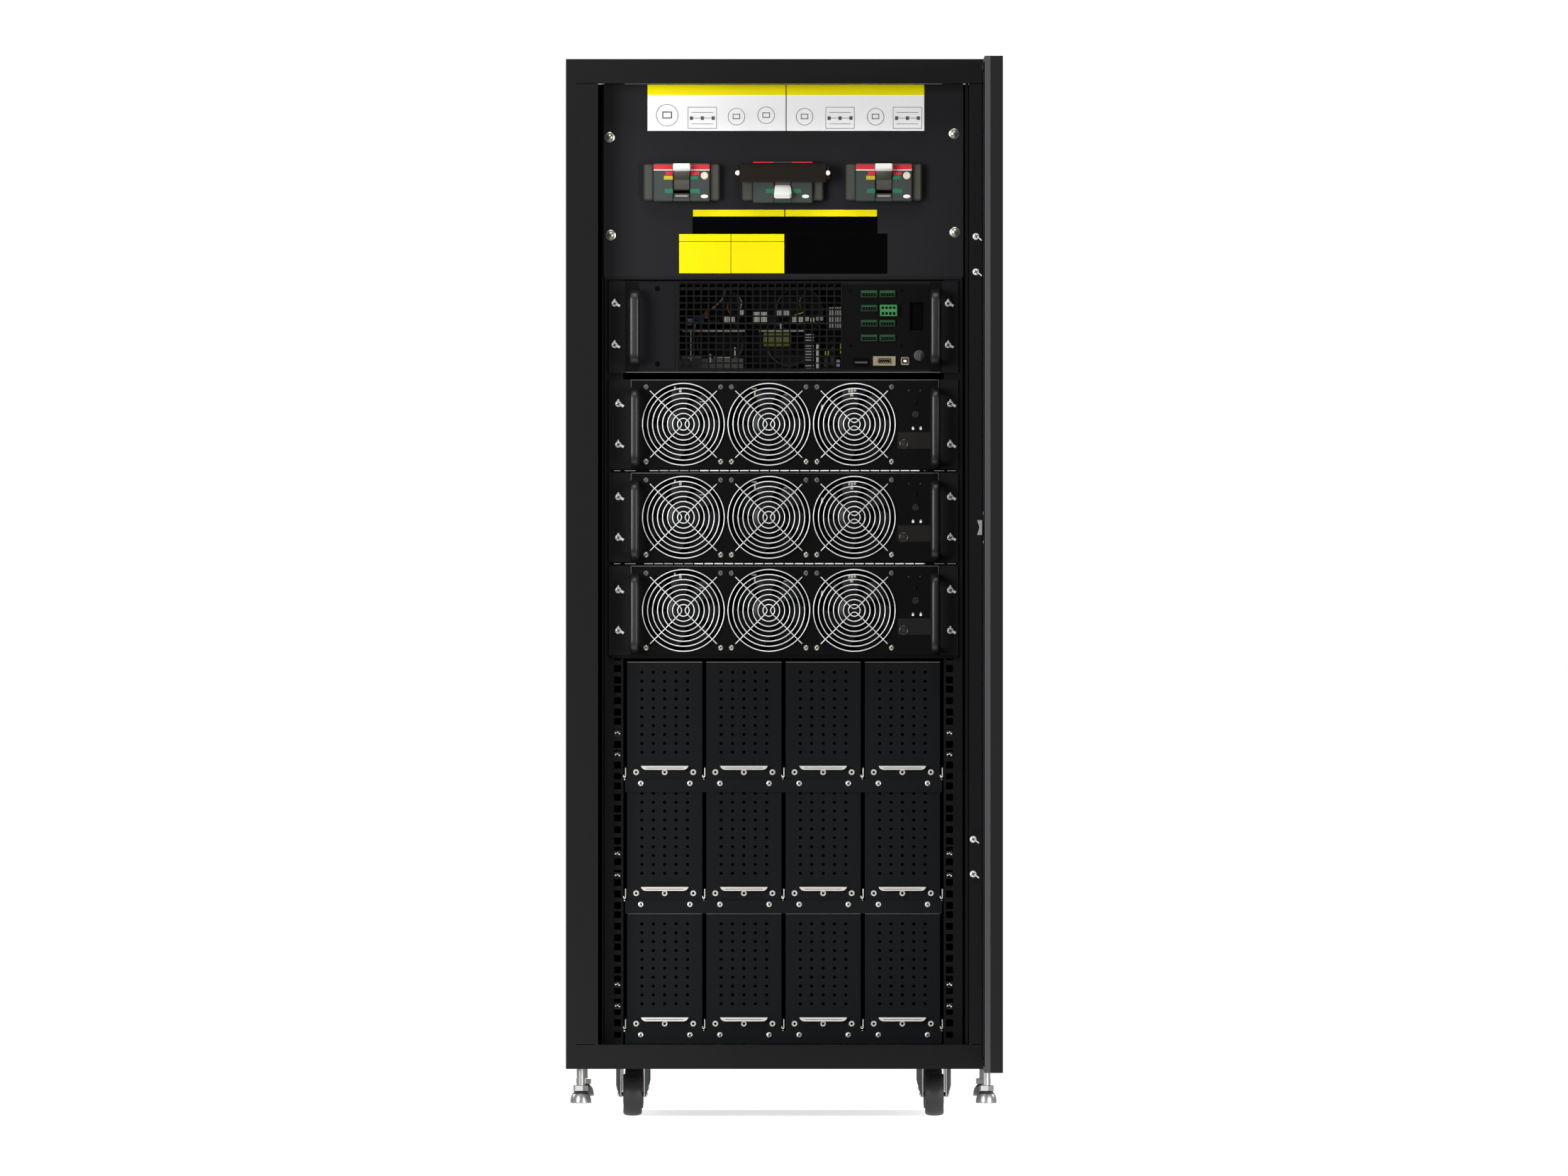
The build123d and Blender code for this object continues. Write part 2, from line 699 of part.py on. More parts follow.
# Lock: a plate on the inner frame, and a body whose inner edge is waisted
with BuildPart() as door_lock:
    y = door_free_y + lock_from_edge
    half = lock_width / 2
    edge = lock_plate_margin
    x0 = door_inside_x - lock_plate_thickness
    slab(x0, door_inside_x, y - half - edge, y + half + edge, lock_z - lock_plate_height / 2,
         lock_z + lock_plate_height / 2)
    with BuildSketch(Plane.XZ.offset(-y - half)):
        with BuildLine():
            tip = door_inside_x - lock_reach
            waist = tip + lock_waist
            Polyline((x0, lock_z - lock_height / 2), (tip, lock_z - lock_height / 2), (waist, lock_z),
                     (tip, lock_z + lock_height / 2), (x0, lock_z + lock_height / 2), close=True)
        make_face()
    extrude(amount=lock_width)
keep(door_lock, "door_lock")

with BuildPart() as door_hinges:
    for z in hinge_z:
        leaf_x = half_inner - hinge_leaf_width
        arm = hinge_leaf_thickness
        slab(leaf_x, hinge_x + arm, front_y - arm, front_y, z - hinge_leaf_height / 2, z + hinge_leaf_height / 2)
        slab(hinge_x - arm, hinge_x + arm, hinge_y, front_y, z - hinge_knuckle_height / 2,
             z + hinge_knuckle_height / 2)
        with Locations((hinge_x, hinge_y, z)):
            Cylinder(hinge_knuckle_radius, hinge_knuckle_height)
            Cylinder(hinge_pin_radius, hinge_knuckle_height + 2 * hinge_pin_reach)
keep(door_hinges, "door_hinges")

# Castors: plate with a kingpin, swivelling fork with an axle, wheel
castors = {
    "front_left": (-castor_x, -castor_y),
    "front_right": (castor_x, -castor_y),
    "rear_left": (-castor_x, castor_y),
    "rear_right": (castor_x, castor_y),
}
pan_under_z = pan_top - sheet
plate_z = pan_under_z - castor_plate_thickness
crown_z = plate_z - seat_gap
with BuildPart() as castor_plates:
    for x, y in castors.values():
        half = castor_plate / 2
        slab(x - half, x + half, y - half, y + half, plate_z, pan_under_z)
        with Locations((x, y, plate_z)):
            Cylinder(kingpin_radius, fork_crown_thickness + seat_gap,
                     align=(Align.CENTER, Align.CENTER, Align.MAX))
keep(castor_plates, "castor_plates")

leg_outer = fork_inner_width / 2 + fork_wall
fork_half = leg_outer + fork_flange
for place, (x, y) in castors.items():
    axle_y = y + castor_trail
    leg_y = axle_y - fork_leg_depth / 2
    leg_bottom = wheel_radius - fork_leg_below_axle
    crown_bottom = crown_z - fork_crown_thickness
    with BuildPart() as fork:
        slab(x - fork_half, x + fork_half, y - castor_trail, leg_y + fork_leg_depth, crown_bottom, crown_z)
        for side in (-1, 1):
            x0, x1 = sorted((x + side * fork_inner_width / 2, x + side * leg_outer))
            slab(x0, x1, leg_y, leg_y + fork_leg_depth, leg_bottom, crown_bottom)
            with BuildSketch(Plane.XZ.offset(-leg_y)):
                with BuildLine():
                    Polyline((x + side * leg_outer, leg_bottom), (x + side * leg_outer, crown_bottom),
                             (x + side * fork_half, crown_bottom), (x + side * fork_half, leg_bottom + fork_flange_height),
                             close=True)
                make_face()
            extrude(amount=-fork_wall)
        with Locations(Location((x, axle_y, wheel_radius), (0, 90, 0))):
            Cylinder(axle_radius, 2 * leg_outer + axle_reach)
        with Locations((x, y, crown_z)):
            Cylinder(kingpin_radius + running_clearance, 2 * fork_crown_thickness, mode=Mode.SUBTRACT)
    keep(fork, f"castor_fork_{place}")
    with BuildPart() as wheel:
        with Locations(Location((x, axle_y, wheel_radius), (0, 90, 0))):
            Cylinder(wheel_radius, wheel_width)
            Cylinder(wheel_hub_radius, fork_inner_width - 2 * seat_gap)
            Cylinder(axle_radius + running_clearance, 2 * fork_half, mode=Mode.SUBTRACT)
    keep(wheel, f"castor_wheel_{place}")

# Levelling feet, wound up off the floor: bell, nut and stud
with BuildPart() as levelling_feet:
    for x in (-foot_x, foot_x):
        for y in (-foot_y, foot_y):
            bell_top = foot_bottom_z + foot_bell_height
            with BuildSketch(Plane(origin=(x, y, 0), x_dir=(1, 0, 0), z_dir=(0, -1, 0))):
                with BuildLine():
                    Polyline((0, foot_bottom_z), (foot_radius, foot_bottom_z),
                             (foot_radius, foot_bottom_z + foot_rim_height), (foot_neck_radius, bell_top),
                             (0, bell_top), close=True)
                make_face()
            revolve(axis=Axis((x, y, 0), (0, 0, 1)))
            with BuildSketch(Plane.XY.offset(bell_top)):
                with Locations((x, y)):
                    RegularPolygon(foot_nut_width / 2, 6)
            extrude(amount=foot_nut_height)
            with Locations((x, y, bell_top)):
                Cylinder(foot_stem_radius, base_height - bell_top, align=(Align.CENTER, Align.CENTER, Align.MIN))
keep(levelling_feet, "levelling_feet")
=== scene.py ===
from itertools import product
from math import cos, pi, radians, sin, tan, tau

import bmesh
import bpy
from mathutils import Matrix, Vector


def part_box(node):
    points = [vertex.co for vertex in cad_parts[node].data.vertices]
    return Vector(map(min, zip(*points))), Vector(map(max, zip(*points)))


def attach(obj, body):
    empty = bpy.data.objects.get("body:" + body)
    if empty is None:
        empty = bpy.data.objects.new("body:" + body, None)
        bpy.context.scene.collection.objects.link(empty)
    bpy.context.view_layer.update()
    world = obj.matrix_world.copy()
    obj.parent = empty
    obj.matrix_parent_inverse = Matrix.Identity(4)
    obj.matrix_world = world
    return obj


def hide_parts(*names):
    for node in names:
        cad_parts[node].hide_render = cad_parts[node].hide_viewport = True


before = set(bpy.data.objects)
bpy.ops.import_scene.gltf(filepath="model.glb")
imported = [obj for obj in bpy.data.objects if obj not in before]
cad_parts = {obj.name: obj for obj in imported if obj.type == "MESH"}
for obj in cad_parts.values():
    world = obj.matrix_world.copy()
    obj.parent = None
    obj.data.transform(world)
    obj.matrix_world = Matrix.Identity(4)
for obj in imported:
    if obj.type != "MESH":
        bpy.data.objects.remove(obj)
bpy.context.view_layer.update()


# Carcass: header, sill, posts, top cover and base pan, folded from 2 mm steel and screwed together.
# Their textured black powder coat spreads every light, so that folds and corners show as soft greys.
def linear(hex_colour):
    """An sRGB hex colour as linear red, green, blue and alpha."""
    channels = [int(hex_colour[i:i + 2], 16) / 255 for i in (1, 3, 5)]
    return [c / 12.92 if c <= 0.04045 else ((c + 0.055) / 1.055) ** 2.4 for c in channels] + [1.0]


def add_node(tree, kind, settings=None, links=None):
    """A node with its settings, each its own or a socket's, and its links as {socket: source socket}."""
    node = tree.nodes.new(kind)
    for key, value in (settings or {}).items():
        if key in node.inputs:
            node.inputs[key].default_value = value
        else:
            setattr(node, key, value)
    for socket, source in (links or {}).items():
        tree.links.new(source, node.inputs[socket])
    return node


def finish(name, colour, roughness, metallic=0.0, grain_mm=None, relief_mm=0.02, mottle=0.0, **sockets):
    """A material. Its grain has that size and relief, and mottle is how far its roughness wanders."""
    patch_grains = 40
    material = bpy.data.materials.new(name)
    material.use_nodes = True
    tree = material.node_tree
    tree.nodes.clear()
    surface = add_node(tree, "ShaderNodeBsdfPrincipled",
                       {"Base Color": linear(colour), "Roughness": roughness, "Metallic": metallic, **sockets})
    add_node(tree, "ShaderNodeOutputMaterial", links={"Surface": surface.outputs["BSDF"]})
    if grain_mm:
        place = add_node(tree, "ShaderNodeTexCoord")
        grain = add_node(tree, "ShaderNodeTexNoise", {"Scale": 1000 / grain_mm, "Detail": 3.0},
                         {"Vector": place.outputs["Object"]})
        relief = add_node(tree, "ShaderNodeBump", {"Strength": 0.6, "Distance": relief_mm / 1000},
                          {"Height": grain.outputs["Fac"]})
        tree.links.new(relief.outputs["Normal"], surface.inputs["Normal"])
        if mottle:
            wide = add_node(tree, "ShaderNodeTexNoise",
                            {"Scale": 1000 / (grain_mm * patch_grains), "Detail": 4.0},
                            {"Vector": place.outputs["Object"]})
            spread = add_node(tree, "ShaderNodeMapRange",
                              {"To Min": roughness - mottle, "To Max": roughness + mottle},
                              {"Value": wide.outputs["Fac"]})
            tree.links.new(spread.outputs["Result"], surface.inputs["Roughness"])
    return material


def coat(material, *nodes):
    """Gives a material to nodes that stay as the CAD made them."""
    for node in nodes:
        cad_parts[node].material_slots[0].material = material


# The coat's real grain is about 0.4 mm. It is drawn at 1.1 mm, so that it shows as a soft stipple.
textured_powder_coat = finish("textured_powder_coat", "#171718", 0.55, grain_mm=1.1, relief_mm=0.05,
                              mottle=0.05, IOR=1.15)
coat(textured_powder_coat, "front_header", "front_sill", "front_posts", "top_cover", "base_pan")


# Filter mat behind the rear panel's slots: black open-cell foam, held by the panel's folded edge.
# It keeps dust out, and no daylight shows through the cabinet.
class Piece:
    """One piece while it is made, in millimetres from an origin, with each face's number of material."""

    def __init__(self, *origin):
        self.origin = origin or (0, 0, 0)
        self.points = []
        self.faces = []
        self.paints = []

    def add(self, points, faces, paint=0):
        first = len(self.points)
        self.points += [[a + b for a, b in zip(self.origin, point)] for point in points]
        self.faces += [[first + corner for corner in face] for face in faces]
        self.paints += [paint] * len(faces)


def block(piece, start, end, bevel=0.4, paint=0):
    """A box between two opposite corners, its edges chamfered where it has a bevel."""
    low, high = zip(*map(sorted, zip(start, end)))
    if not bevel:
        piece.add(product(*zip(low, high)), [[0, 1, 3, 2], [4, 6, 7, 5], [0, 4, 5, 1], [2, 3, 7, 6],
                                             [0, 2, 6, 4], [1, 5, 7, 3]], paint)
        return
    points = []
    place = {}
    corners = list(product((0, 1), repeat=3))
    for corner in corners:
        for axis in range(3):
            point = [high[k] if corner[k] else low[k] for k in range(3)]
            for k in range(3):
                if k != axis:
                    point[k] += -bevel if corner[k] else bevel
            place[corner, axis] = len(points)
            points.append(point)
    faces = [[place[corner, axis] for axis in range(3)] for corner in corners]
    for axis in range(3):
        u, v = [k for k in range(3) if k != axis]
        loops = {0: [], 1: []}
        for a, b in ((0, 0), (1, 0), (1, 1), (0, 1)):
            ends = []
            for side in (0, 1):
                corner = [0, 0, 0]
                corner[axis], corner[u], corner[v] = side, a, b
                ends.append(tuple(corner))
                loops[side].append(place[tuple(corner), axis])
            faces.append([place[ends[0], u], place[ends[1], u], place[ends[1], v], place[ends[0], v]])
        faces += loops.values()
    piece.add(points, faces, paint)


def fit(piece, name, body, materials, replaced=(), crease=35):
    """Makes the object: it rides on a body and stands for the CAD nodes that it replaces."""
    mesh = bpy.data.meshes.new(name)
    mesh.from_pydata([[v / 1000 for v in point] for point in piece.points], [], piece.faces)
    for material in materials:
        mesh.materials.append(material)
    mesh.polygons.foreach_set("material_index", piece.paints)
    work = bmesh.new()
    work.from_mesh(mesh)
    bmesh.ops.recalc_face_normals(work, faces=work.faces)
    work.to_mesh(mesh)
    work.free()
    mesh.polygons.foreach_set("use_smooth", [True] * len(mesh.polygons))
    mesh.set_sharp_from_angle(angle=radians(crease))
    thing = bpy.data.objects.new(name, mesh)
    bpy.context.scene.collection.objects.link(thing)
    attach(thing, body)
    if replaced:
        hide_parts(*replaced)
    return thing


filter_foam = finish("black_filter_foam", "#050505", 0.95)
louvre_fields = (486.9, 1036.9)
filter_mat = Piece()
for middle in louvre_fields:
    block(filter_mat, (-222, 519, middle - 236), (222, 524.8, middle + 236), 1.5)
fit(filter_mat, "rear_filter_mat", "root", [filter_foam])


# Front door, standing open: an outer tray with two fields of air slots and an inner frame of folded steel.
# The tray has the cabinet's coat, the frame a lighter one that shows pale beside it, and a dull foam
# gasket runs round the frame's inner face.
front_y = -530.0
door_inside_x, door_outside_x = 275.0, 300.0
door_free_y, door_hinge_y = -1138.0, -538.0
door_low_z, door_high_z = 65.8, 1456.4
frame_coat = finish("inner_frame_powder_coat", "#3b3b3d", 0.5, grain_mm=1.1, relief_mm=0.04, IOR=1.15)
gasket_rubber = finish("foam_gasket", "#060606", 0.9, IOR=1.1)
coat(textured_powder_coat, "door_shell")
coat(frame_coat, "door_inner_frame")
gasket = Piece()
strip, inset = 9, 8
left, right = door_free_y + 7, door_hinge_y - 18
low, high = door_low_z + inset, door_high_z - inset
for y in (left, right - strip):
    block(gasket, (door_inside_x - 1.6, y, low), (door_inside_x + 0.4, y + strip, high), 0.8)
for z in (low, high - strip):
    block(gasket, (door_inside_x - 1.5, left + 0.2, z), (door_inside_x + 0.4, right - 0.2, z + strip), 0.8)
fit(gasket, "door_gasket", "front_door", [gasket_rubber])


# Door lock: a die-cast body on a dark block of painted shade, with a pan-head screw above and below it.
# Satin zinc that mirrors the lights softly, with its waisted bolt guide facing the cabinet.
def lathe(piece, centre, profile, sides=24, paint=0, axis=(0, -1, 0)):
    """A turned shape from (radius, distance along the axis) pairs, with flat or pointed ends."""
    along = Vector(axis).normalized()
    across = along.orthogonal().normalized()
    up = along.cross(across)
    points = []
    rings = []
    for radius, distance in profile:
        middle = Vector(centre) + along * distance
        turns = [tau * k / sides for k in range(sides if radius else 1)]
        rings.append(range(len(points), len(points) + len(turns)))
        points += [middle + (across * cos(turn) + up * sin(turn)) * radius for turn in turns]
    faces = [list(ring) for ring in (rings[0], rings[-1]) if len(ring) > 1]
    for low, high in zip(rings, rings[1:]):
        for k in range(sides):
            after = (k + 1) % sides
            if len(low) == 1:
                faces.append([low[0], high[after], high[k]])
            elif len(high) == 1:
                faces.append([low[k], low[after], high[0]])
            else:
                faces.append([low[k], low[after], high[after], high[k]])
    piece.add(points, faces, paint)


def sweep(piece, path, section, side=(0, 1, 0), closed=False, paint=0):
    """A section carried along a path. Side is the way of the section's first axis at the start."""
    path = [Vector(point) for point in path]
    count = len(path)
    across = Vector(side)
    points = []
    for i, point in enumerate(path):
        before = path[i - 1] if i or closed else point
        after = path[(i + 1) % count] if i < count - 1 or closed else point
        along = (after - before).normalized()
        across = (across - along * across.dot(along)).normalized()
        up = along.cross(across)
        points += [point + across * u + up * v for u, v in section]
    around = len(section)
    faces = []
    for i in range(count if closed else count - 1):
        for k in range(around):
            a, b = i * around + k, i * around + (k + 1) % around
            c, d = (i + 1) % count * around + (k + 1) % around, (i + 1) % count * around + k
            faces.append([a, b, c, d])
    if not closed:
        faces.append(list(range(around)))
        faces.append(list(range(len(points) - around, len(points))))
    piece.add(points, faces, paint)


def circle(radius, sides=8):
    """The section of a round wire."""
    return [(radius * cos(tau * k / sides), radius * sin(tau * k / sides)) for k in range(sides)]


def oblong(half_across, half_up):
    """The section of a flat bar."""
    return [(u * half_across, v * half_up) for u, v in ((-1, -1), (1, -1), (1, 1), (-1, 1))]


def prism(piece, start, end, paint=0):
    """A solid between two outlines that have the same number of corners."""
    count = len(start)
    sides = [[k, (k + 1) % count, (k + 1) % count + count, k + count] for k in range(count)]
    piece.add(start + end, sides + [list(range(count)), list(range(count, 2 * count))], paint)


def screw(piece, x, y, z, head=4.0, rise=2.0, paint=0, dark=1, turn=0.5):
    """A pan-head screw facing the front, with a cross recess drawn in the dark paint as painted shade."""
    lathe(piece, (x, y, z), [(head, -0.5), (head, rise * 0.35), (head * 0.82, rise * 0.8),
                                         (head * 0.4, rise), (0, rise)], 16, paint)
    for k in range(2):
        angle = turn + k * pi / 2
        reach = Vector((cos(angle), 0, sin(angle))) * head * 0.62
        middle = Vector((x, y - rise + 0.05, z))
        sweep(piece, [middle - reach, middle + reach], oblong(0.5, 0.55), paint=dark)


zinc_plate = finish("zinc_plated_steel", "#cfcecb", 0.34, metallic=0.75, grain_mm=1.5, relief_mm=0.01)
# Near-black paint for recesses, slots, holes and gaps: painted shade where the light does not reach.
recess_shadow = finish("painted_recess_shade", "#060606", 0.8, IOR=1.1)
lock = Piece()
lock_y, lock_z = door_free_y + 60, 811.5
# The dark block under the lock body is painted shade.
block(lock, (271.6, lock_y - 12, lock_z - 10.1), (274.9, lock_y + 12, lock_z + 10.1), 0.3, 1)
waist = [(271.8, -10.1), (265.0, -10.1), (266.0, -6.5), (267.4, -3), (267.9, 0), (267.4, 3), (266.0, 6.5),
         (265.0, 10.1), (271.8, 10.1)]
prism(lock, *[[(x, lock_y + y, lock_z + z) for x, z in waist] for y in (-9, 9)])
for z in (831.0, 791.5):
    lathe(lock, (275.0, lock_y, z), [(3.4, -0.5), (3.0, 1.2), (1.5, 2.0), (0, 2.0)], 16, axis=(-1, 0, 0))
lathe(lock, (door_outside_x - 1.5, lock_y, lock_z), [(11, -0.5), (11, 0.9), (9, 1.2), (0, 1.2)], 32,
      axis=(1, 0, 0))
fit(lock, "lock_body", "front_door", [zinc_plate, recess_shadow], ["door_lock"])


# Door hinges: a leaf on the right post, a knuckle and its pin, pressed from steel and painted with the
# cabinet. Each leaf is held by two pan-head screws, whose bright zinc heads stand out as white dots.
coat(textured_powder_coat, "door_hinges")
bright_zinc_and_glints = finish("bright_zinc_screw_and_painted_glints", "#ffffff", 0.25, metallic=0.1)
hinge_screws = Piece()
for x, z in ((265.3, 1213.4), (265.3, 1164.7), (261.5, 382.4), (261.5, 334.5)):
    screw(hinge_screws, x, front_y - 3, z, 4.6, 2.2)
    sweep(hinge_screws, [(x + 4, front_y - 3.6, z - 2), (x + 8, front_y - 3.6, z - 5.5)], circle(0.9, 6))
fit(hinge_screws, "hinge_screws", "root", [bright_zinc_and_glints, recess_shadow])


# Rack rails and rear uprights: folded steel with square holes at the rack spacing, in a coat just darker
# than the cabinet's. Cage nuts of oiled spring steel clip into a few holes, each with three painted glints.
satin_powder_coat = finish("satin_grey_powder_coat", "#222224", 0.45, grain_mm=0.9, relief_mm=0.03,
                           mottle=0.05, IOR=1.15)
rail_coat = finish("rail_powder_coat", "#131314", 0.5, grain_mm=0.9, relief_mm=0.03, IOR=1.15)
coat(rail_coat, "rack_rails", "rear_posts", "module_shelves")
rail_y = -472.0
cage_nuts = Piece()
for side in (-1, 1):
    for z in (528.4, 498.6, 361.6, 332.0, 181.3, 151.8):
        x = side * 229.0
        block(cage_nuts, (x - 4.4, rail_y + 0.4, z - 4.4), (x + 4.4, rail_y + 6, z + 4.4), 0.5, 2)
        lathe(cage_nuts, (x, rail_y + 0.5, z), [(2.8, -1), (2.8, 0.25), (2.2, 0.25)], 12, 1)
        # Three small white bits on each nut: painted glints.
        for u, v, size in ((-2.6, 0.4, 1.1), (0.2, 1.4, 0.8), (2.4, -0.4, 1.1)):
            block(cage_nuts, (x + u - size, rail_y - 0.4, z + v - 0.8),
                  (x + u + size, rail_y + 0.6, z + v + 0.8), 0.25)
oiled_spring_steel = finish("oiled_spring_steel", "#1a1a1b", 0.4, metallic=0.3)
fit(cage_nuts, "cage_nuts", "root", [bright_zinc_and_glints, recess_shadow, oiled_spring_steel])


# Switch panel: a flat steel sheet with a smooth satin coat, its lower edge folded back, held to the rails by
# four washer-head screws between the folded edges of the posts. Five matt polyester film plates are stuck
# on it, in plain bands of colour and with plain line drawings on the white one.
coat(satin_powder_coat, "breaker_panel")
panel_y = -474.0
panel_screws = Piece()
for x, z in ((-240.0, 1350.5), (235.5, 1355.5), (-238.5, 1215.5), (236.5, 1219.5)):
    lathe(panel_screws, (x, panel_y, z), [(7.2, -0.5), (7.2, 0.9), (6.2, 1.4), (4.8, 1.5), (4.6, 3.6), (3.4, 4.6),
                                          (0, 4.9)], 28)
    sweep(panel_screws, [(x - 2.8, panel_y - 4.6, z + 1), (x + 2.8, panel_y - 4.6, z - 1)],
          oblong(0.5, 0.4), paint=1)
dull_screw = finish("dull_zinc_screw", "#c4c2b4", 0.28, metallic=0.9)
fit(panel_screws, "panel_screws", "root", [dull_screw, recess_shadow])
panel_edges = Piece()
block(panel_edges, (-248.0, panel_y + 0.2, 1153.9), (247.4, panel_y + 9, 1159.2), 1.8)
block(panel_edges, (250.4, -519.0, 99.5), (255.5, -476.0, 1424.2), 1.0, 1)
block(panel_edges, (-250.6, panel_y + 3, 99.5), (-248.1, panel_y + 12, 1424.2), 0.4, 1)
fit(panel_edges, "panel_edges", "root", [satin_powder_coat, rail_coat])

# Matt film that stays flat and strong in colour, with hardly any sheen from the lights.
# The lower plates' yellow is a darker copy of the top label's: painted shade for the stronger light there.
yellow_film = finish("yellow_polyester_film", "#fff000", 0.6, IOR=1.15)
shaded_yellow_film = finish("yellow_polyester_film_painted_shade", "#f0e000", 0.6, IOR=1.2)
white_film = finish("white_polyester_film", "#fdfdfd", 0.6, IOR=1.15)
black_film = finish("black_polyester_film", "#000000", 0.6, IOR=1.1)
line_ink = finish("printed_grey_line", "#4a4a4a", 0.5)
yellow, white, black, line, shaded_yellow = range(5)
plates = Piece(0, panel_y, 0)


def film(x0, x1, z0, z1, paint, lift=0):
    """One band of colour on the panel. Lift is how many bands lie under it."""
    thickness, step = 0.25, 0.1
    block(plates, (x0, -thickness - lift * step, z0), (x1, 0.1, z1), 0.05, paint)


def ring(x, y, z, radius, sides):
    """A path round a circle that faces the front."""
    return [(x + radius * cos(tau * k / sides), y, z + radius * sin(tau * k / sides)) for k in range(sides)]


for x, z, size in ((-160.5, 1381.0, 15.0), (-65.0, 1379.0, 11.5), (-24.0, 1381.0, 11.5), (29.0, 1379.0, 11.5),
                   (127.0, 1379.0, 11.5)):
    sweep(plates, ring(x, -0.5, z, size, 32), oblong(0.1, 0.35), closed=True, paint=line)
    film(x - size * 0.45, x + size * 0.45, z - size * 0.3, z + size * 0.35, line, 1)
    film(x - size * 0.35, x + size * 0.35, z - size * 0.2, z + size * 0.25, white, 2)
for x in (-112.0, 78.0, 171.0):
    film(x - 20, x + 20, 1362.5, 1392.5, line, 1)
    film(x - 19.3, x + 19.3, 1363.2, 1391.8, white, 2)
    for level in (1369.0, 1377.0, 1385.0):
        film(x - 15, x + 15, level - 0.35, level + 0.35, line, 3)
    for post in (-15, 0, 15):
        film(x + post - 2.2, x + post + 2.2, 1374.5, 1379.5, line, 4)
for band in ((-187.6, 194.1, 1359.5, 1423.1, white), (-187.6, 194.1, 1408.9, 1423.1, yellow, 1),
             (3.0, 4.2, 1359.5, 1423.1, black, 2), (-125.6, 129.7, 1217.9, 1251.2, black),
             (-124.9, 1.0, 1241.4, 1250.6, shaded_yellow, 1), (2.4, 129.0, 1241.4, 1250.6, shaded_yellow, 1),
             (-144.8, 1.7, 1162.3, 1217.8, black), (-144.0, -73.0, 1163.0, 1217.1, shaded_yellow, 1),
             (-72.2, 1.0, 1163.0, 1217.1, shaded_yellow, 1), (-144.0, 1.0, 1206.6, 1207.3, black, 2),
             (1.7, 143.4, 1162.3, 1217.8, black)):
    film(*band)
fit(plates, "panel_plates", "root", [yellow_film, white_film, black_film, line_ink, shaded_yellow_film])


# Breakers: moulded cases in a dull grey thermoset behind the panel's cut-outs, each with a raised grey-green
# field. Red, white, green and yellow printed marks flank the lever, with a shiny plated button at its right.
grey_green_moulding = finish("grey_green_thermoset", "#39403d", 0.4, grain_mm=1.0, relief_mm=0.02, IOR=1.4)
warm_grey_moulding = finish("warm_grey_thermoset", "#43433d", 0.42, grain_mm=1.0, relief_mm=0.02, IOR=1.4)
red_mark = finish("red_printed_mark", "#cf1f2e", 0.4)
white_mark = finish("white_printed_mark", "#f0eee8", 0.4)
green_mark = finish("green_printed_mark", "#0d7050", 0.4)
yellow_mark = finish("yellow_printed_mark", "#c3ac22", 0.4)
nickel_button = finish("nickel_plated_button", "#f4ead0", 0.3, metallic=0.25)
breaker_z = 1288.5
main_x, bypass_x, output_x = -140.5, -1.0, 138.5
nose = -22
raised, shell, red, white, green, yellow, button, shadow = range(8)
cases = Piece()
low_marks = ((-23.5, -12.1, -15.1, -9.1, green), (12.1, 25.1, -15.1, -9.1, green))
bypass_marks = ((-41, -12, 25.2, 28.2, red), (12, 41, 25.2, 28.2, red))
other_marks = ((-38.6, -12.6, 17.6, 24.4, red), (-38.6, -12.6, 16.1, 17.5, white),
               (12.6, 38.6, 17.6, 24.4, red), (12.6, 38.6, 16.1, 17.5, white), (-22.1, -12.1, 10.1, 15.1, red),
               (12.1, 23.9, 10.1, 15.1, red), (-24.5, -12.1, 3.5, 8.9, yellow), (12.1, 22.5, 3.7, 8.9, green))
for x in (main_x, bypass_x, output_x):
    cases.origin = (x, panel_y, breaker_z)
    wing, field, half = (56.0, 41.4, 28.4) if x == bypass_x else (52.4, 39.2, 26.2)
    for side in (-1, 1):
        block(cases, (side * (field - 1), -15, -24.9), (side * wing, 0, 24.9), 2.2, shell)
        block(cases, (side * 11.4, nose, -half), (side * field, 0, half), 1.6)
    for reach, front, low, high, bevel, paint in (
            (11.6, nose + 0.6, 22.5, half, 0.6, raised), (11.6, nose + 0.6, -half, -22, 0.6, raised),
            (10.6, nose + 1.2, -22.2, -15.6, 0.6, shell), (11.6, -0.6, -23, 23, 0.1, shadow)):
        block(cases, (-reach, front, low), (reach, 0, high), bevel, paint)
    block(cases, (-8.6, nose + 0.9, -19.4), (8.6, nose + 2, -18.6), 0.2, white)
    for x0, x1, z0, z1, paint in low_marks + (bypass_marks if x == bypass_x else other_marks):
        block(cases, (x0, nose - 0.25, z0), (x1, nose + 0.5, z1), 0.08, paint)
    if x != bypass_x:
        lathe(cases, (31.6, nose, 9.1), [(5.2, -1), (5.2, 1.0), (4.4, 1.8), (2.2, 1.9), (1.6, 1.1), (0, 1.1)],
              28, button)
    oval = [(31.4 + 5.0 * cos(tau * k / 28), -19.6 + 2.5 * sin(tau * k / 28)) for k in range(28)]
    prism(cases, *[[(u, y, v) for u, v in oval] for y in (nose - 0.25, nose + 0.5)], white)
fit(cases, "breaker_cases", "root", [grey_green_moulding, warm_grey_moulding, red_mark, white_mark, green_mark,
                                     yellow_mark, nickel_button, recess_shadow], ["breakers"])


# Levers: moulded nylon, a curved grey shroud that closes the slot, a neck and a wide white cap, both silky.
# The main and output levers are thrown up, the bypass lever is down behind its lock bar.
grey_nylon = finish("dark_grey_nylon", "#4c4a42", 0.38, grain_mm=1.2, relief_mm=0.01)
white_nylon = finish("white_nylon", "#f4f3ee", 0.4)


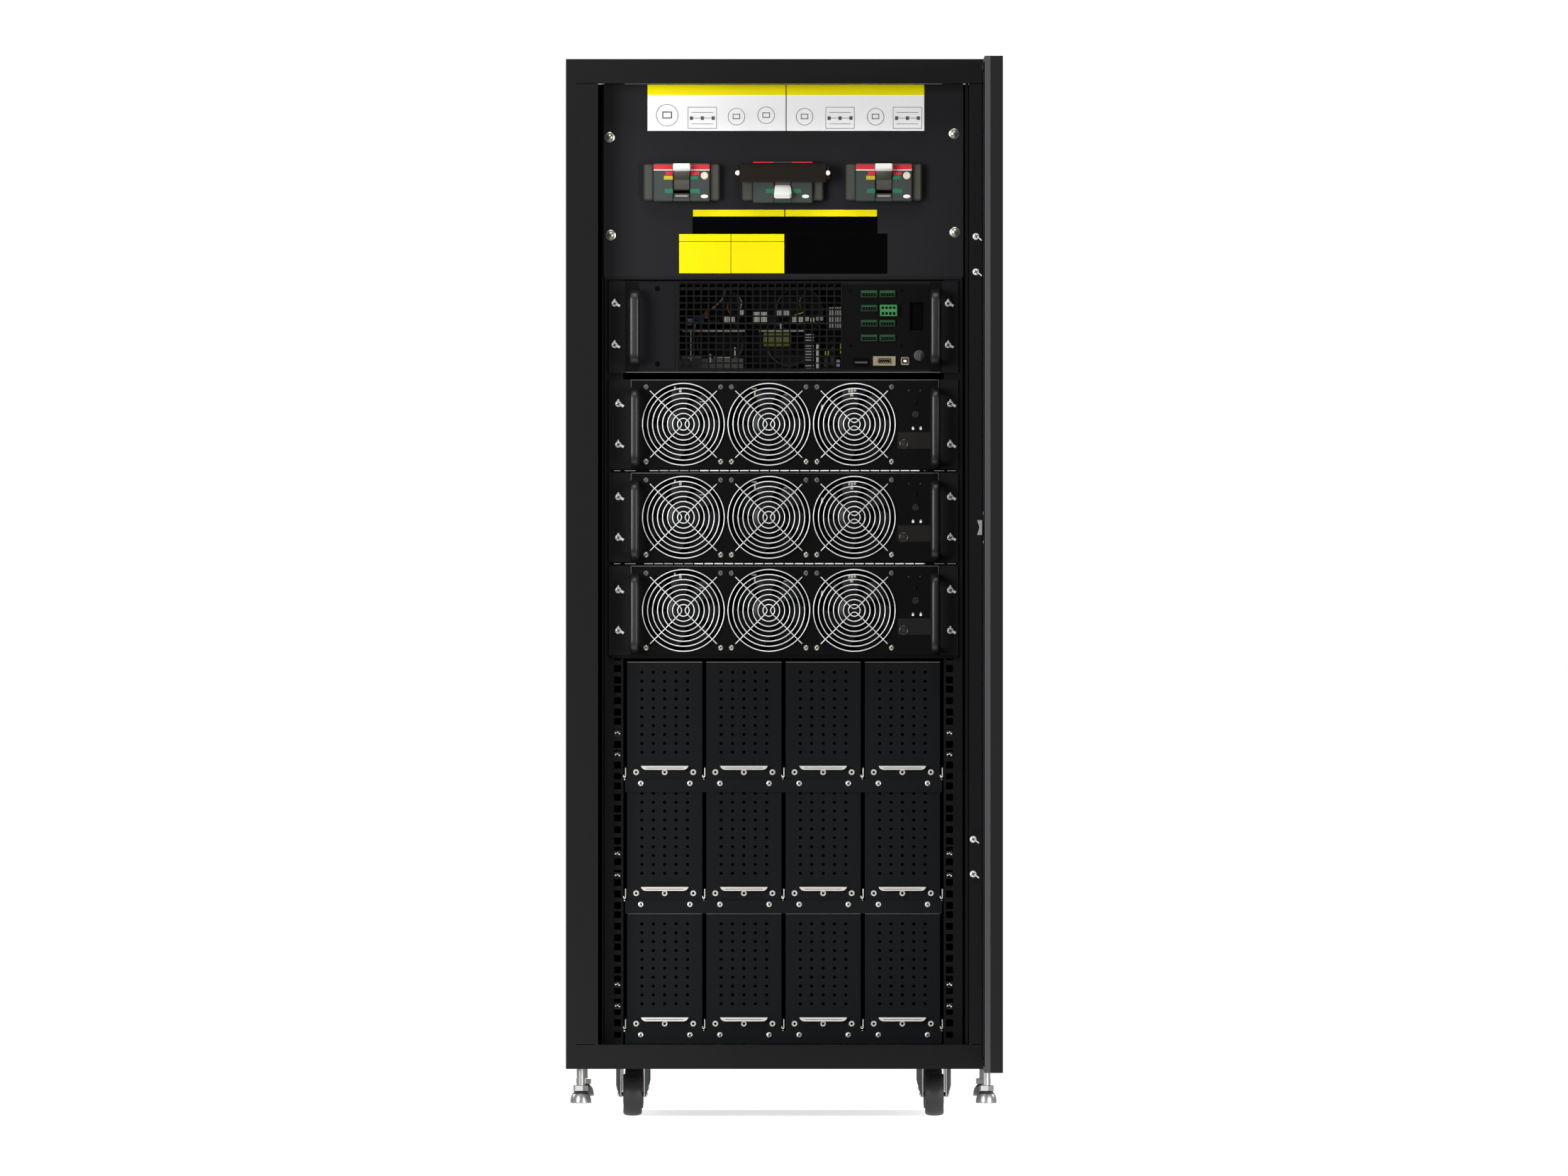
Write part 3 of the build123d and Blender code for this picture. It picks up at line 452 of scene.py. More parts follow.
def lever(name, body, node, x, up):
    """A lever on its pin, leaning up or down from straight ahead."""
    lean_degrees = 35
    lean = radians(lean_degrees) * up
    ahead = Vector((0, -cos(lean), sin(lean)))
    aside = Vector((0, sin(lean), cos(lean))) * up
    shape = Piece(x, panel_y - 8.5, breaker_z)

    def taper(ends, paint, bevel=0.8):
        """A bar from one end to the other, each as reach, half width, low and high."""
        (reach0, wide0, low0, high0), (reach1, wide1, low1, high1) = ends
        length = reach1 - reach0
        plain = Piece()
        block(plain, (-10, 0, -10), (10, length, 10), bevel)
        turned = []
        for u, along, v in plain.points:
            share = along / length
            wide = wide0 + (wide1 - wide0) * share
            low = low0 + (low1 - low0) * share
            high = high0 + (high1 - high0) * share
            turned.append(Vector((u / 10 * wide, 0, 0)) + ahead * (reach0 + along)
                          + aside * (low + (v + 10) / 20 * (high - low)))
        shape.add(turned, plain.faces, paint)

    taper(((-3.5, 6.0, -4.0, 4.0), (13, 8.0, -4.0, 4.0)), 0)
    if up > 0:
        taper(((12, 10.2, -5.0, 4.6), (29.6, 11.4, -3.0, 6.6)), 0)
        taper(((29.4, 12.0, -2.8, 6.9), (36.2, 12.0, -2.4, 6.7)), 1, 1.3)
    else:
        taper(((12, 10.6, -5.0, 4.6), (33.0, 12.2, -3.6, 5.4)), 1, 2.2)
    arc = [radians(angle) for angle in range(-88, 53, 7)]
    rows = [(radius, angle) for radius in (13.8, 12.4) for angle in (arc if radius > 13 else arc[::-1])]
    points = []
    for u in (-10.4, 10.4):
        points += [Vector((u, 0, 0)) + ahead * radius * cos(angle) + aside * radius * sin(angle)
                   for radius, angle in rows]
    count = len(rows)
    half = len(arc)
    faces = [[k, (k + 1) % count, (k + 1) % count + count, k + count] for k in range(count)]
    for start in (0, count):
        faces += [[start + k, start + k + 1, start + count - 2 - k, start + count - 1 - k]
                  for k in range(half - 1)]
    shape.add(points, faces, 0)
    fit(shape, name, body, [grey_nylon, white_nylon], [node])


lever("main_lever", "toggle_main", "toggle_main", main_x, 1)
lever("output_lever", "toggle_output", "toggle_output", output_x, 1)
lever("bypass_lever", "root", "bypass_toggle", bypass_x, -1)

brown_lock_paint = finish("brown_black_enamel", "#1b1610", 0.35, grain_mm=1.4, relief_mm=0.02, IOR=1.3)
lock_bar = Piece()
low, high = (Vector(corner) * 1000 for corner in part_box("bypass_lock_bar"))
bar_y = low.y
block(lock_bar, (low.x + 4, bar_y, low.z), (high.x - 4, bar_y + 10, high.z), 2.2)
for side, edge in ((-1, low.x), (1, high.x)):
    block(lock_bar, (edge, bar_y + 2, low.z + 4), (edge - side * 8, panel_y, high.z - 4), 1.2)
    lathe(lock_bar, (edge - side * 3.4, bar_y + 2, 1301.2), [(3.6, -0.5), (3.4, 1.0), (1.4, 1.8), (0, 1.8)],
          16, 1)
for z in (low.z + 5, high.z - 5):
    block(lock_bar, (low.x + 12, bar_y - 0.5, z - 0.8), (high.x - 12, bar_y + 1, z + 0.8), 0.3)
fit(lock_bar, "lock_bar", "root", [brown_lock_paint, bright_zinc_and_glints], ["bypass_lock_bar"])


# Bypass module: a folded steel case and face on the rack, its wide opening closed by a welded wire mesh.
# A fine black powder coat, a little smoother than the cabinet's. A blank plate closes the bay at its left.
fine_powder_coat = finish("fine_black_powder_coat", "#18181a", 0.45, grain_mm=0.8, relief_mm=0.025,
                          mottle=0.04, IOR=1.15)
mesh_coat = finish("dip_coated_mesh", "#131314", 0.45, IOR=1.15)
plate_coat = finish("black_powder_coat", "#080809", 0.5, grain_mm=0.8, relief_mm=0.02, IOR=1.15)
coat(fine_powder_coat, "bypass_module_housing", "bypass_module_face")
coat(plate_coat, "bypass_connector_plate")
face_y = -475.3
bypass_z = 1088.9
grille = Piece(0, face_y, 0)
left, right, low, high = -145.2, 81.3, 1028.8, 1151.1
uprights, bars, wire = 23, 14, 1.1
for k in range(uprights):
    x = left + wire + (right - left - 2 * wire) * k / (uprights - 1)
    block(grille, (x - wire, -0.5, low), (x + wire, 0.9, high), 0.25)
for k in range(bars):
    z = low + wire + (high - low - 2 * wire) * k / (bars - 1)
    block(grille, (left + 0.1, -0.6, z - wire), (right - 0.1, 0.8, z + wire), 0.25)
# Near-black strips behind the bars along the top and bottom border: painted shade.
for z0, z1 in ((1147.0, 1150.9), (1029.0, 1031.0)):
    block(grille, (left + 0.3, -0.1, z0), (right - 0.3, 0.4, z1), 0.05, 1)
fit(grille, "bypass_mesh", "bypass_module", [mesh_coat, recess_shadow], ["bypass_module_grille"])
bypass_trim = Piece(0, face_y, 0)
block(bypass_trim, (-199.0, -1.2, 1030.7), (-149.8, 0, 1149.2), 0.5)
# Screw holes and the hairline seams take the near-black recess paint: painted shade.
for z in (1141.7, 1037.7):
    lathe(bypass_trim, (-173.8, -1.2, z), [(3.6, -0.2), (3.6, 0.1), (3.0, 0.12)], 20, 1)
for x, z in product((92.7, 163.3), (1139.0, 1063.0)):
    lathe(bypass_trim, (x, 0, z), [(2.2, -0.2), (2.2, 0.15), (1.6, 0.15)], 16, 1)
for x in (81.3, 202.0):
    block(bypass_trim, (x - 0.4, -0.15, 1030.0), (x + 0.4, 0.2, 1148.0), 0.05, 1)
block(bypass_trim, (-241.0, -0.25, 1151.6), (241.0, 1, 1152.4), 0.1, 2)
# A pale strip along the bottom edge of the face: painted highlight.
block(bypass_trim, (-217.0, -0.3, 1026.0), (216.0, 1, 1026.8), 0.1, 3)
# Near-black patches between each ear and the face, behind the handles: painted shade.
block(bypass_trim, (-218.5, -0.4, 1027.6), (-199.8, 0.5, 1151.0), 0.2, 4)
block(bypass_trim, (202.6, -0.4, 1027.6), (218.0, 0.5, 1151.0), 0.2, 4)
# Pale grey painted highlight, laid as thin strips along lit edges.
edge_highlight = finish("painted_edge_highlight", "#6c6c6e", 0.35)
fit(bypass_trim, "bypass_trim", "bypass_module", [fine_powder_coat, recess_shadow, rail_coat, edge_highlight,
                                                  plate_coat])


# Ear screws of all four modules: captive pan-head screws through the ears into the rail nuts,
# bright zinc, each with its small retaining tab at the right.
def ear_screws(name, body, heights, across):
    """Four screws, two in each ear."""
    screws = Piece(0, face_y, 0)
    for x, z in product(across, heights):
        screw(screws, x, 0, z, 4.4, 2.6)
        sweep(screws, [(x + 2.6, -1.6, z - 0.6), (x + 7.4, -1.2, z - 3.4)],
              [(-0.5, -1.7), (0.5, -1.2), (0.5, 1.2), (-0.5, 1.7)])
        sweep(screws, [(x - 1.0, -1.0, z + 3.0), (x + 0.6, -1.0, z + 6.4)],
              [(-0.5, -1.0), (0.5, -0.8), (0.5, 0.8), (-0.5, 1.0)])
    fit(screws, name, body, [bright_zinc_and_glints, recess_shadow])


ear_screws("bypass_ear_screws", "bypass_module", (1121.2, 1064.0), (-233.2, 227.0))


# Boards behind the mesh: glass-epoxy boards on a zinc shelf with cream nylon headers, capacitors, coils wound
# in enamelled wire, finned heat sinks and the dark fans of the bay behind. Most of it lies in shadow, so the
# cream headers and the bright zinc edges are what stands out.
cream_nylon_and_glints = finish("natural_nylon_and_painted_glints", "#b9b8ae", 0.45)
board_epoxy = finish("green_glass_epoxy", "#1c2a22", 0.4, grain_mm=2.0, relief_mm=0.02)
copper_enamel = finish("enamelled_copper_wire", "#5c5a1e", 0.35)
blue_sleeve = finish("blue_capacitor_sleeve", "#1b3d6e", 0.35)
orange_sleeve = finish("orange_sleeve", "#8f4a1c", 0.4)
yellow_green_sleeve = finish("yellow_green_sleeve", "#8c9a1e", 0.4)
bare_zinc = finish("dull_zinc_edge", "#a3a39d", 0.45, metallic=0.4)
fan_plastic = finish("glass_filled_black_nylon", "#0b0b0c", 0.36, grain_mm=1.2, relief_mm=0.01, IOR=1.3)
dark_zinc = finish("shaded_zinc_plate", "#474744", 0.5, metallic=0.3)
epoxy, nylon_and_glints, copper, blue, orange, dark, black, edge, lime = range(9)
boards = Piece(0, face_y + 70, 0)


def stack(x0, x1, z0, z1, paint, ahead=0.0, thick=8.0, bevel=0.5):
    """One block on the boards, its front face that far ahead of the connector row."""
    block(boards, (x0, -ahead, z0), (x1, thick - ahead, z1), bevel, paint)


stack(-143, 79, 1031, 1150, black, -90, 3, 0.2)
stack(-140, -53, 1082.6, 1085.4, edge, 12, 60, 0.3)
stack(-34, 30, 1082.6, 1085.4, edge, 12, 60, 0.3)
stack(-136, 76, 1093.2, 1094.8, dark, 0, 70, 0.2)
for x0, x1, z0, z1, paint in (
        (-134, -126, 1092, 1101, nylon_and_glints), (-123, -110, 1095, 1105, blue), (-109, -105, 1101, 1111, orange),
        (-84, -76, 1095, 1104, nylon_and_glints), (-75, -67, 1095, 1104, nylon_and_glints), (-60, -55, 1106, 1114, nylon_and_glints),
        (-42, -33, 1096, 1110, nylon_and_glints), (-31, -22, 1096, 1110, nylon_and_glints), (-9, 10, 1104, 1112, edge),
        (12, 19, 1096, 1105, nylon_and_glints), (21, 27, 1096, 1103, nylon_and_glints), (29, 35, 1097, 1105, nylon_and_glints),
        (37, 43, 1096, 1102, nylon_and_glints), (45, 55, 1098, 1104, edge), (-103, -88, 1095, 1099, black),
        (-20, -12, 1095, 1103, black)):
    stack(x0, x1, z0, z1, paint)
    ways = max(1, int((x1 - x0) / 3.2))
    for way in range(ways):
        x = x0 + (x1 - x0) * (way + 0.5) / ways
        stack(x - 0.35, x + 0.35, z0 + 1.2, z1 - 1.2, black, 0.15, 1, 0.05)
for k in range(5):
    stack(63 + k * 3.6, 65.4 + k * 3.6, 1088, 1117, edge, 6, 40, 0.2)
for x, z0, z1 in ((-128, 1043, 1084), (-122.5, 1086, 1096), (-67, 1047, 1061), (-4, 1086, 1096),
                  (-101, 1040, 1052)):
    stack(x - 1.1, x + 1.1, z0, z1, edge, 14, 2.2, 0.3)
for k in range(13):
    z = 1031 + k * 3.9
    stack(29.5, 42, z, z + 1.7, edge, 8, 16, 0.2)
stack(31, 40, 1030, 1082, black, 4, 12, 0.3)
stack(45, 50, 1032, 1065, nylon_and_glints, 10, 10, 0.5)
for x0, x1, z0, z1, paint in (
        (56, 62, 1034, 1046, epoxy), (57, 63, 1050, 1056, lime), (65, 70, 1036, 1050, epoxy),
        (66, 71, 1055, 1062, epoxy), (78, 80, 1052, 1068, lime), (73, 78, 1034, 1044, edge),
        (64, 69, 1066, 1072, black)):
    stack(x0, x1, z0, z1, paint, 8)
stack(-144, -55, 1029.5, 1046, dark, 2, 60, 0.6)
stack(-140, -112, 1046, 1050, edge, -4, 40, 0.4)
stack(-96, -72, 1046, 1049, edge, -6, 40, 0.4)
stack(-27.5, 9, 1062, 1082, black, -6, 26, 1)
for k in range(9):
    turns = [tau * j / 16 for j in range(16)]
    coil = [(-25 + k * 4.1 + 1.5 * cos(turn), -2, 1072 + 9.2 * sin(turn)) for turn in turns]
    sweep(boards, coil, circle(1.7, 6), closed=True, paint=copper)
for x, z, radius in ((-92, 1112, 33), (-88, 1068, 32), (8, 1066, 30), (22, 1112, 32)):
    lathe(boards, (x, 62, z), [(radius, 0), (radius, 5), (radius - 2, 6), (radius - 2.6, 1), (11, 1), (11, 6),
                               (0, 6)], 40, black)
    sweep(boards, ring(x, 55, z, radius, 48), circle(1.5, 6), closed=True, paint=dark)
for x0, z0, x1, z1, sag, paint in (
        (-98, 1115, -80, 1140, 4, edge), (-112, 1105, -104, 1122, 3, orange), (-72, 1106, -76, 1122, -3, orange),
        (-60, 1114, -64, 1134, 4, edge), (16, 1106, 30, 1112, 3, lime), (24, 1116, 32, 1138, -5, copper),
        (-40, 1110, -60, 1146, 5, black), (-30, 1110, -20, 1146, -6, black), (40, 1104, 52, 1128, 6, black),
        (-120, 1106, -134, 1144, 5, black), (6, 1112, -6, 1142, 6, black), (50, 1104, 58, 1146, -4, black)):
    wire = []
    for t in range(11):
        share, swell = t / 10, sin(pi * t / 10)
        wire.append((x0 + (x1 - x0) * share + sag * swell, 4 - 8 * swell, z0 + (z1 - z0) * share))
    sweep(boards, wire, circle(0.9, 6), paint=paint)
fit(boards, "bypass_boards", "bypass_module",
    [board_epoxy, cream_nylon_and_glints, copper_enamel, blue_sleeve, orange_sleeve, dark_zinc, fan_plastic, bare_zinc,
     yellow_green_sleeve], ["bypass_module_boards"])


# Connectors of the bypass module: pluggable terminal blocks in deep green nylon, a nine-pin socket in a warm
# plated shell, a square data socket, a dark edge connector and the earth stud with its nut.
green_nylon = finish("green_nylon", "#0f4420", 0.4)
bright_green_nylon = finish("bright_green_nylon", "#2f7c41", 0.4)
connector_shell = finish("nickel_plated_shell", "#cdc4a2", 0.3, metallic=0.8)
dark_green, light_green, plated, shadow, pale, zinc = range(6)
connectors = Piece(0, face_y, 0)
for low, high in ((1129.9, 1139.4), (1110.6, 1119.2), (1089.7, 1098.4), (1069.5, 1078.3)):
    for x0, x1 in ((106.8, 129.5), (132.5, 154.2)):
        block(connectors, (x0, -4, low), (x1, 0, high), 0.4, dark_green)
        block(connectors, (x0 + 0.9, -4.2, low + 1.0), (x1 - 0.9, -3.5, low + 5.6), 0.1, shadow)
        for way in range(6):
            x = x0 + 2.1 + (x1 - x0 - 4.2) * way / 5
            block(connectors, (x - 0.4, -4.5, low + 2.2), (x + 0.4, -3.6, low + 4.2), 0.1, zinc)
            block(connectors, (x - 1.0, -4.4, high - 2.9), (x + 1.0, -3.9, high - 0.9), 0.2, dark_green)
block(connectors, (133.0, -10, 1103.7), (157.0, -4, 1119.6), 0.8, light_green)
for way in range(4):
    x = 137.0 + way * 5.2
    lathe(connectors, (x, -10, 1115.4), [(1.9, -0.5), (1.9, 0.3), (1.2, 0.3)], 12, shadow)
    block(connectors, (x - 1.7, -10.3, 1105.6), (x + 1.7, -9.5, 1109.4), 0.1, shadow)
block(connectors, (123.4, -1.2, 1035.5), (154.7, 0, 1048.5), 0.4, plated)
block(connectors, (129.6, -5, 1037.4), (148.6, -1, 1046.6), 1.6, plated)
block(connectors, (130.8, -5.2, 1038.6), (147.4, -4.6, 1045.4), 1.2, shadow)
for count, z in ((5, 1043.6), (4, 1040.6)):
    for k in range(count):
        x = 139.1 + (k - (count - 1) / 2) * 2.76
        lathe(connectors, (x, -5, z), [(0.6, -0.2), (0.6, 0.4), (0, 0.4)], 8, plated)
for x in (126.4, 151.8):
    lathe(connectors, (x, -1, 1042.0), [(2.6, -0.3), (2.6, 2.2), (1.2, 2.2), (1.2, 1.4)], 6, plated)
block(connectors, (161.8, -3, 1036.5), (173.6, 0, 1047.4), 1.2, plated)
block(connectors, (163.4, -3.2, 1038.1), (172.0, -2.6, 1045.8), 0.6, shadow)
block(connectors, (165.5, -3.4, 1040.2), (169.9, -2.8, 1043.6), 0.2, pale)
block(connectors, (96.7, -3, 1034.6), (117.5, 0, 1045.9), 0.5, shadow)
block(connectors, (98.3, -3.3, 1038.8), (115.9, -2.6, 1041.2), 0.2, zinc)
lathe(connectors, (187.4, 0, 1049.6), [(7.4, 0), (7.4, 0.8), (6.6, 1.0)], 24, zinc)
lathe(connectors, (187.4, -0.8, 1049.6), [(6.1, 0), (6.1, 3.6), (5.2, 4.4), (3.1, 4.4), (3.1, 7.2), (2.4, 7.8),
                                          (0, 7.8)], 6, zinc)
fit(connectors, "bypass_connectors", "bypass_module", [green_nylon, bright_green_nylon, connector_shell,
                                                       recess_shadow, white_nylon, dark_zinc],
    ["bypass_module_connectors"])
# The card slot is near-black blocks of painted shade.
card_slot = Piece(0, face_y, 0)
block(card_slot, (174.6, 4, 1085.4), (192.1, 6, 1122.0), 0.2)
for x in (175.0, 190.9):
    block(card_slot, (x, 0.5, 1086), (x + 0.8, 6, 1121.4), 0.1)
fit(card_slot, "card_slot", "bypass_module", [recess_shadow])


# Handles: flat steel bows bolted through the module faces from behind. Their satin coat is smooth enough to
# draw a pale line of light down each round edge.
handle_coat = finish("dark_grey_satin_coat", "#151517", 0.38, grain_mm=1.2, relief_mm=0.01)


def bend(corners, radius, steps):
    """A path through the corners, each inner one rounded off."""
    corners = [Vector(corner) for corner in corners]
    path = [corners[0]]
    for before, corner, after in zip(corners, corners[1:], corners[2:]):
        back, ahead = (before - corner).normalized(), (after - corner).normalized()
        reach = radius / tan(back.angle(ahead) / 2)
        start, end = corner + back * reach, corner + ahead * reach
        for step in range(steps + 1):
            t = step / steps
            path.append(start * (1 - t) ** 2 + corner * 2 * t * (1 - t) + end * t * t)
    return path + [corners[-1]]


def rounded_bar(width, depth, radius, steps):
    """The section of a flat bar with round edges."""
    outline = []
    for u, v, start in ((1, 1, 0), (-1, 1, 90), (-1, -1, 180), (1, -1, 270)):
        for step in range(steps + 1):
            turn = radians(start + 90 * step / steps)
            outline.append((u * (width / 2 - radius) + radius * cos(turn),
                            v * (depth / 2 - radius) + radius * sin(turn)))
    return outline


def handles(name, body, z, width, length, node):
    """Two bows, one beside each ear."""
    pair = Piece(0, face_y, z)
    grip, reach = 9.0, 38.0
    for x in (-205.9, 209.8):
        high, out = length / 2 - grip / 2, grip / 2 - reach
        path = bend([(x, 1, high), (x, out, high), (x, out, -high), (x, 1, -high)], 13.0, 10)
        sweep(pair, path, rounded_bar(width, grip, 4.3, 4), (1, 0, 0))
    fit(pair, name, body, [handle_coat], [node], 50)


handles("bypass_handles", "bypass_module", bypass_z, 15.0, 105.0, "bypass_module_handles")


# Power modules: each has a folded steel case behind a face tray, with three round fan openings. The fans are
# black nylon, seven curved blades on a hub, turning in a bell on four struts. The blades are glossier than
# the rest, so that each shows one soft streak, and painted a lighter grey than the hub as painted sheen. The
# galvanised edge under each tray shows as a dashed line.
def pierced(piece, rect, hole, y0, y1, sides=16, paint=0, wall=0):
    """A rectangle of a sheet from y0 back to y1 with one round hole in it."""
    x0, x1, z0, z1 = rect
    x, z, radius = hole
    inner = [(u, v) for u, y, v in ring(x, y0, z, radius, sides)]
    outer = []
    for k in range(sides):
        across, up = cos(tau * k / sides), sin(tau * k / sides)
        reach = min(((x1 if across > 0 else x0) - x) / across if abs(across) > 1e-9 else 1e9,
                    ((z1 if up > 0 else z0) - z) / up if abs(up) > 1e-9 else 1e9)
        outer.append((x + across * reach, z + up * reach))
    for corner in product((x0, x1), (z0, z1)):
        nearest = min(range(sides), key=lambda k: (outer[k][0] - corner[0]) ** 2 + (outer[k][1] - corner[1]) ** 2)
        outer[nearest] = corner
    points = [(u, y0, v) for u, v in outer + inner] + [(u, y1, v) for u, v in inner]
    around = [(k, (k + 1) % sides) for k in range(sides)]
    piece.add(points, [[a, b, b + sides, a + sides] for a, b in around], paint)
    piece.add(points, [[a + sides, b + sides, b + 2 * sides, a + 2 * sides] for a, b in around], wall)


# Blades a lighter grey than the hub's black nylon: painted sheen.
blade_nylon = finish("black_nylon_with_painted_sheen", "#242426", 0.3)
lens_red = finish("unlit_red_lens", "#220a09", 0.25)
lens_green = finish("unlit_green_lens", "#0a1c10", 0.25)
galvanised = finish("galvanised_edge", "#f6f6f4", 0.45)
satin_black_knob = finish("satin_black_knob", "#24211e", 0.3)
brown_film = finish("brown_black_film", "#0f0c09", 0.5, IOR=1.3)
power_z = (954.7, 826.3, 697.9)
fan_x = (-138.1, -20.2, 97.7)
tray_left, tray_right, tray_half = -210.4, 214.0, 61.5
tray_y = face_y - 1.9
opening = 56.6
tray, fans, highlight_and_ticks, knob, label, red, green, marks, gap_shade, bare, nylon_and_glints = range(11)


def rotor(name, x, z):
    """Seven blades swept round from hub to tip, steep at the root and flatter at the tip."""
    fan = Piece(x, face_y + 10, z)
    lathe(fan, (0, 0, 0), [(0, -1.4), (8.6, -1.4), (9.0, -1.0), (9.2, 0), (17.5, 0), (20.2, 1.0), (21.2, 3.4),
                           (21.2, 24), (19, 26)], 40, 1, (0, 1, 0))
    root, tip = 20.6, 51.0
    across, along = 12, 8
    wide = across + 1
    for blade in range(7):
        rows = []
        for step in range(along + 1):
            t = step / along
            radius = root + (tip - root) * t
            chord, pitch = 25 + 13 * t, radians(46 - 20 * t)
            lead = radians(-16 * t * t)
            row = []
            for k in range(across + 1):
                s = k / across - 0.5
                camber = 2.6 * (1 - 4 * s * s)
                around = chord * s * cos(pitch) - camber * sin(pitch)
                depth = chord * s * sin(pitch) + camber * cos(pitch)
                turn = tau * blade / 7 + lead + around / radius
                row.append((radius * cos(turn), 13 + depth, radius * sin(turn)))
            rows.append(row)
        sheet = [point for row in rows for point in row]
        back = [(p[0], p[1] + 1.1, p[2]) for p in sheet]
        faces = []
        for i, k in product(range(along), range(across)):
            a = i * wide + k
            faces.append([a, a + 1, a + wide + 1, a + wide])
            faces.append([len(sheet) + a, len(sheet) + a + wide, len(sheet) + a + wide + 1, len(sheet) + a + 1])
        rim = (list(range(wide)) + [wide * i + across for i in range(1, along + 1)]
               + [wide * along + k for k in range(across - 1, -1, -1)]
               + [wide * i for i in range(along - 1, 0, -1)])
        faces += [[a, b, b + len(sheet), a + len(sheet)] for a, b in zip(rim, rim[1:] + rim[:1])]
        fan.add(sheet + back, faces)
    fit(fan, name + "_blades", name, [blade_nylon, fan_plastic], [name])


for number, z in enumerate(power_z, start=1):
    module = f"power_module_{number}"
    coat(fine_powder_coat, f"{module}_housing")
    face = Piece(0, tray_y, z)
    edges = [tray_left + 1] + [(a + b) / 2 for a, b in zip(fan_x, fan_x[1:])] + [fan_x[-1] + 59.0]
    for (x0, x1), x in zip(zip(edges, edges[1:]), fan_x):
        pierced(face, (x0, x1, 1 - tray_half, tray_half - 1), (x, 0, opening), 0, 3.9, 64)
    low, high = -tray_half, tray_half
    # The strip along the top edge and the short strips down its corners are painted highlights.
    for start, end, bevel, paint in (
            ((edges[-1], 0, low + 0.6), (tray_right - 0.6, 1.9, high - 0.6), 0.05, tray),
            ((tray_left - 0.1, -0.1, high - 0.9), (tray_right + 0.1, 2.9, high), 0.3, highlight_and_ticks),
            ((tray_left - 0.3, -0.2, high - 11), (tray_left + 0.7, 2.9, high), 0.3, highlight_and_ticks),
            ((tray_right - 0.7, -0.2, high - 11), (tray_right + 0.3, 2.9, high), 0.3, highlight_and_ticks),
            ((tray_left, -0.1, low), (tray_right, 2.9, low + 1.2), 0.5, tray),
            ((tray_left, -0.1, low), (tray_left + 1.2, 2.9, high), 0.5, tray),
            ((tray_right - 1.2, -0.1, low), (tray_right, 2.9, high), 0.5, tray)):
        block(face, start, end, bevel, paint)
    # Small cream bits near the top of each opening, shaped as cable clips on dark holders: painted glints.
    for x, bits in zip(fan_x, (((-6, -2.5, 44, 50.5), (-13, -10.5, 47, 52), (22, 30, 30.5, 31.5)),
                               ((-24, -17, 48, 50), (-20.5, -18, 39, 46), (20, 25, 40, 41)),
                               ((-8.5, -5.5, 44, 49.5), (-4.7, -1.6, 44, 50), (-0.8, 2.4, 45, 50),
                                (-6, -1.5, 38.5, 43), (0, 4, 34, 36.5), (-46, -43, 20, 27)))):
        for x0, x1, z0, z1 in bits:
            block(face, (x + x0, 4.4, z0), (x + x1, 6.4, z1), 0.4, nylon_and_glints)
            block(face, (x + x0 + 0.6, 5.9, z1 - 1), (x + x1 - 0.6, 9.9, z1 + 1), 0.2, fans)
    for x in fan_x:
        sweep(face, ring(x, 0.6, 0, opening - 0.2, 64), circle(0.7, 6), closed=True)
        for k in range(4):
            turn = radians(45 + 90 * k)
            reach = [Vector((x + r * cos(turn), 45.9, r * sin(turn))) for r in (20, 56)]
            sweep(face, reach, oblong(3, 2), paint=fans)
        lathe(face, (x, 38.9, 0), [(20, 0), (22.4, 1.4), (22.4, 10)], 32, fans, (0, 1, 0))
    block(face, (157.6, -0.3, -33.8), (203.0, 0.4, -10.8), 0.3, label)
    lathe(face, (166.2, 0, -27.3), [(6.5, 0), (6.5, 0.8), (5.6, 1.2), (5.0, 0.8), (3.6, 0.8), (3.2, 3.0),
                                    (0, 3.2)], 28, knob)
    lathe(face, (182.0, 0, 13.7), [(2.0, 0), (2.0, 0.3), (0, 0.3)], 24, knob)
    for k in range(9):
        turn = radians(90 + 40 * k)
        spoke = [Vector((182.0 + r * cos(turn), -0.1, 13.7 + r * sin(turn))) for r in (3.0, 4.4)]
        sweep(face, spoke, oblong(0.1, 0.3), paint=highlight_and_ticks)
    lathe(face, (182.0, 0, 31.0), [(2.8, 0), (2.8, 0.4), (2.0, 1.0), (0, 1.1)], 20)
    for x, paint in ((173.0, red), (189.0, green)):
        lathe(face, (x, 0, 46.5), [(1.5, 0), (1.3, 0.4), (0.8, 0.7), (0, 0.8)], 16, paint)
    for x in (178.6, 189.3):
        block(face, (x - 1.5, -0.2, -7.6), (x + 1.5, 0.1, -4.8), 0.1, marks)
        hook = [(x + 1.0 * cos(pi * t / 6), -0.1, -4.8 + 1.6 * sin(pi * t / 6)) for t in range(7)]
        sweep(face, hook, oblong(0.1, 0.25), paint=marks)
    if number < 3:
        gap_z = -64.1
        # A near-black strip in the gap between this module and the next: painted shade.
        block(face, (-236, 2.4, gap_z - 2.0), (238, 3.9, gap_z + 1.8), 0.2, gap_shade)
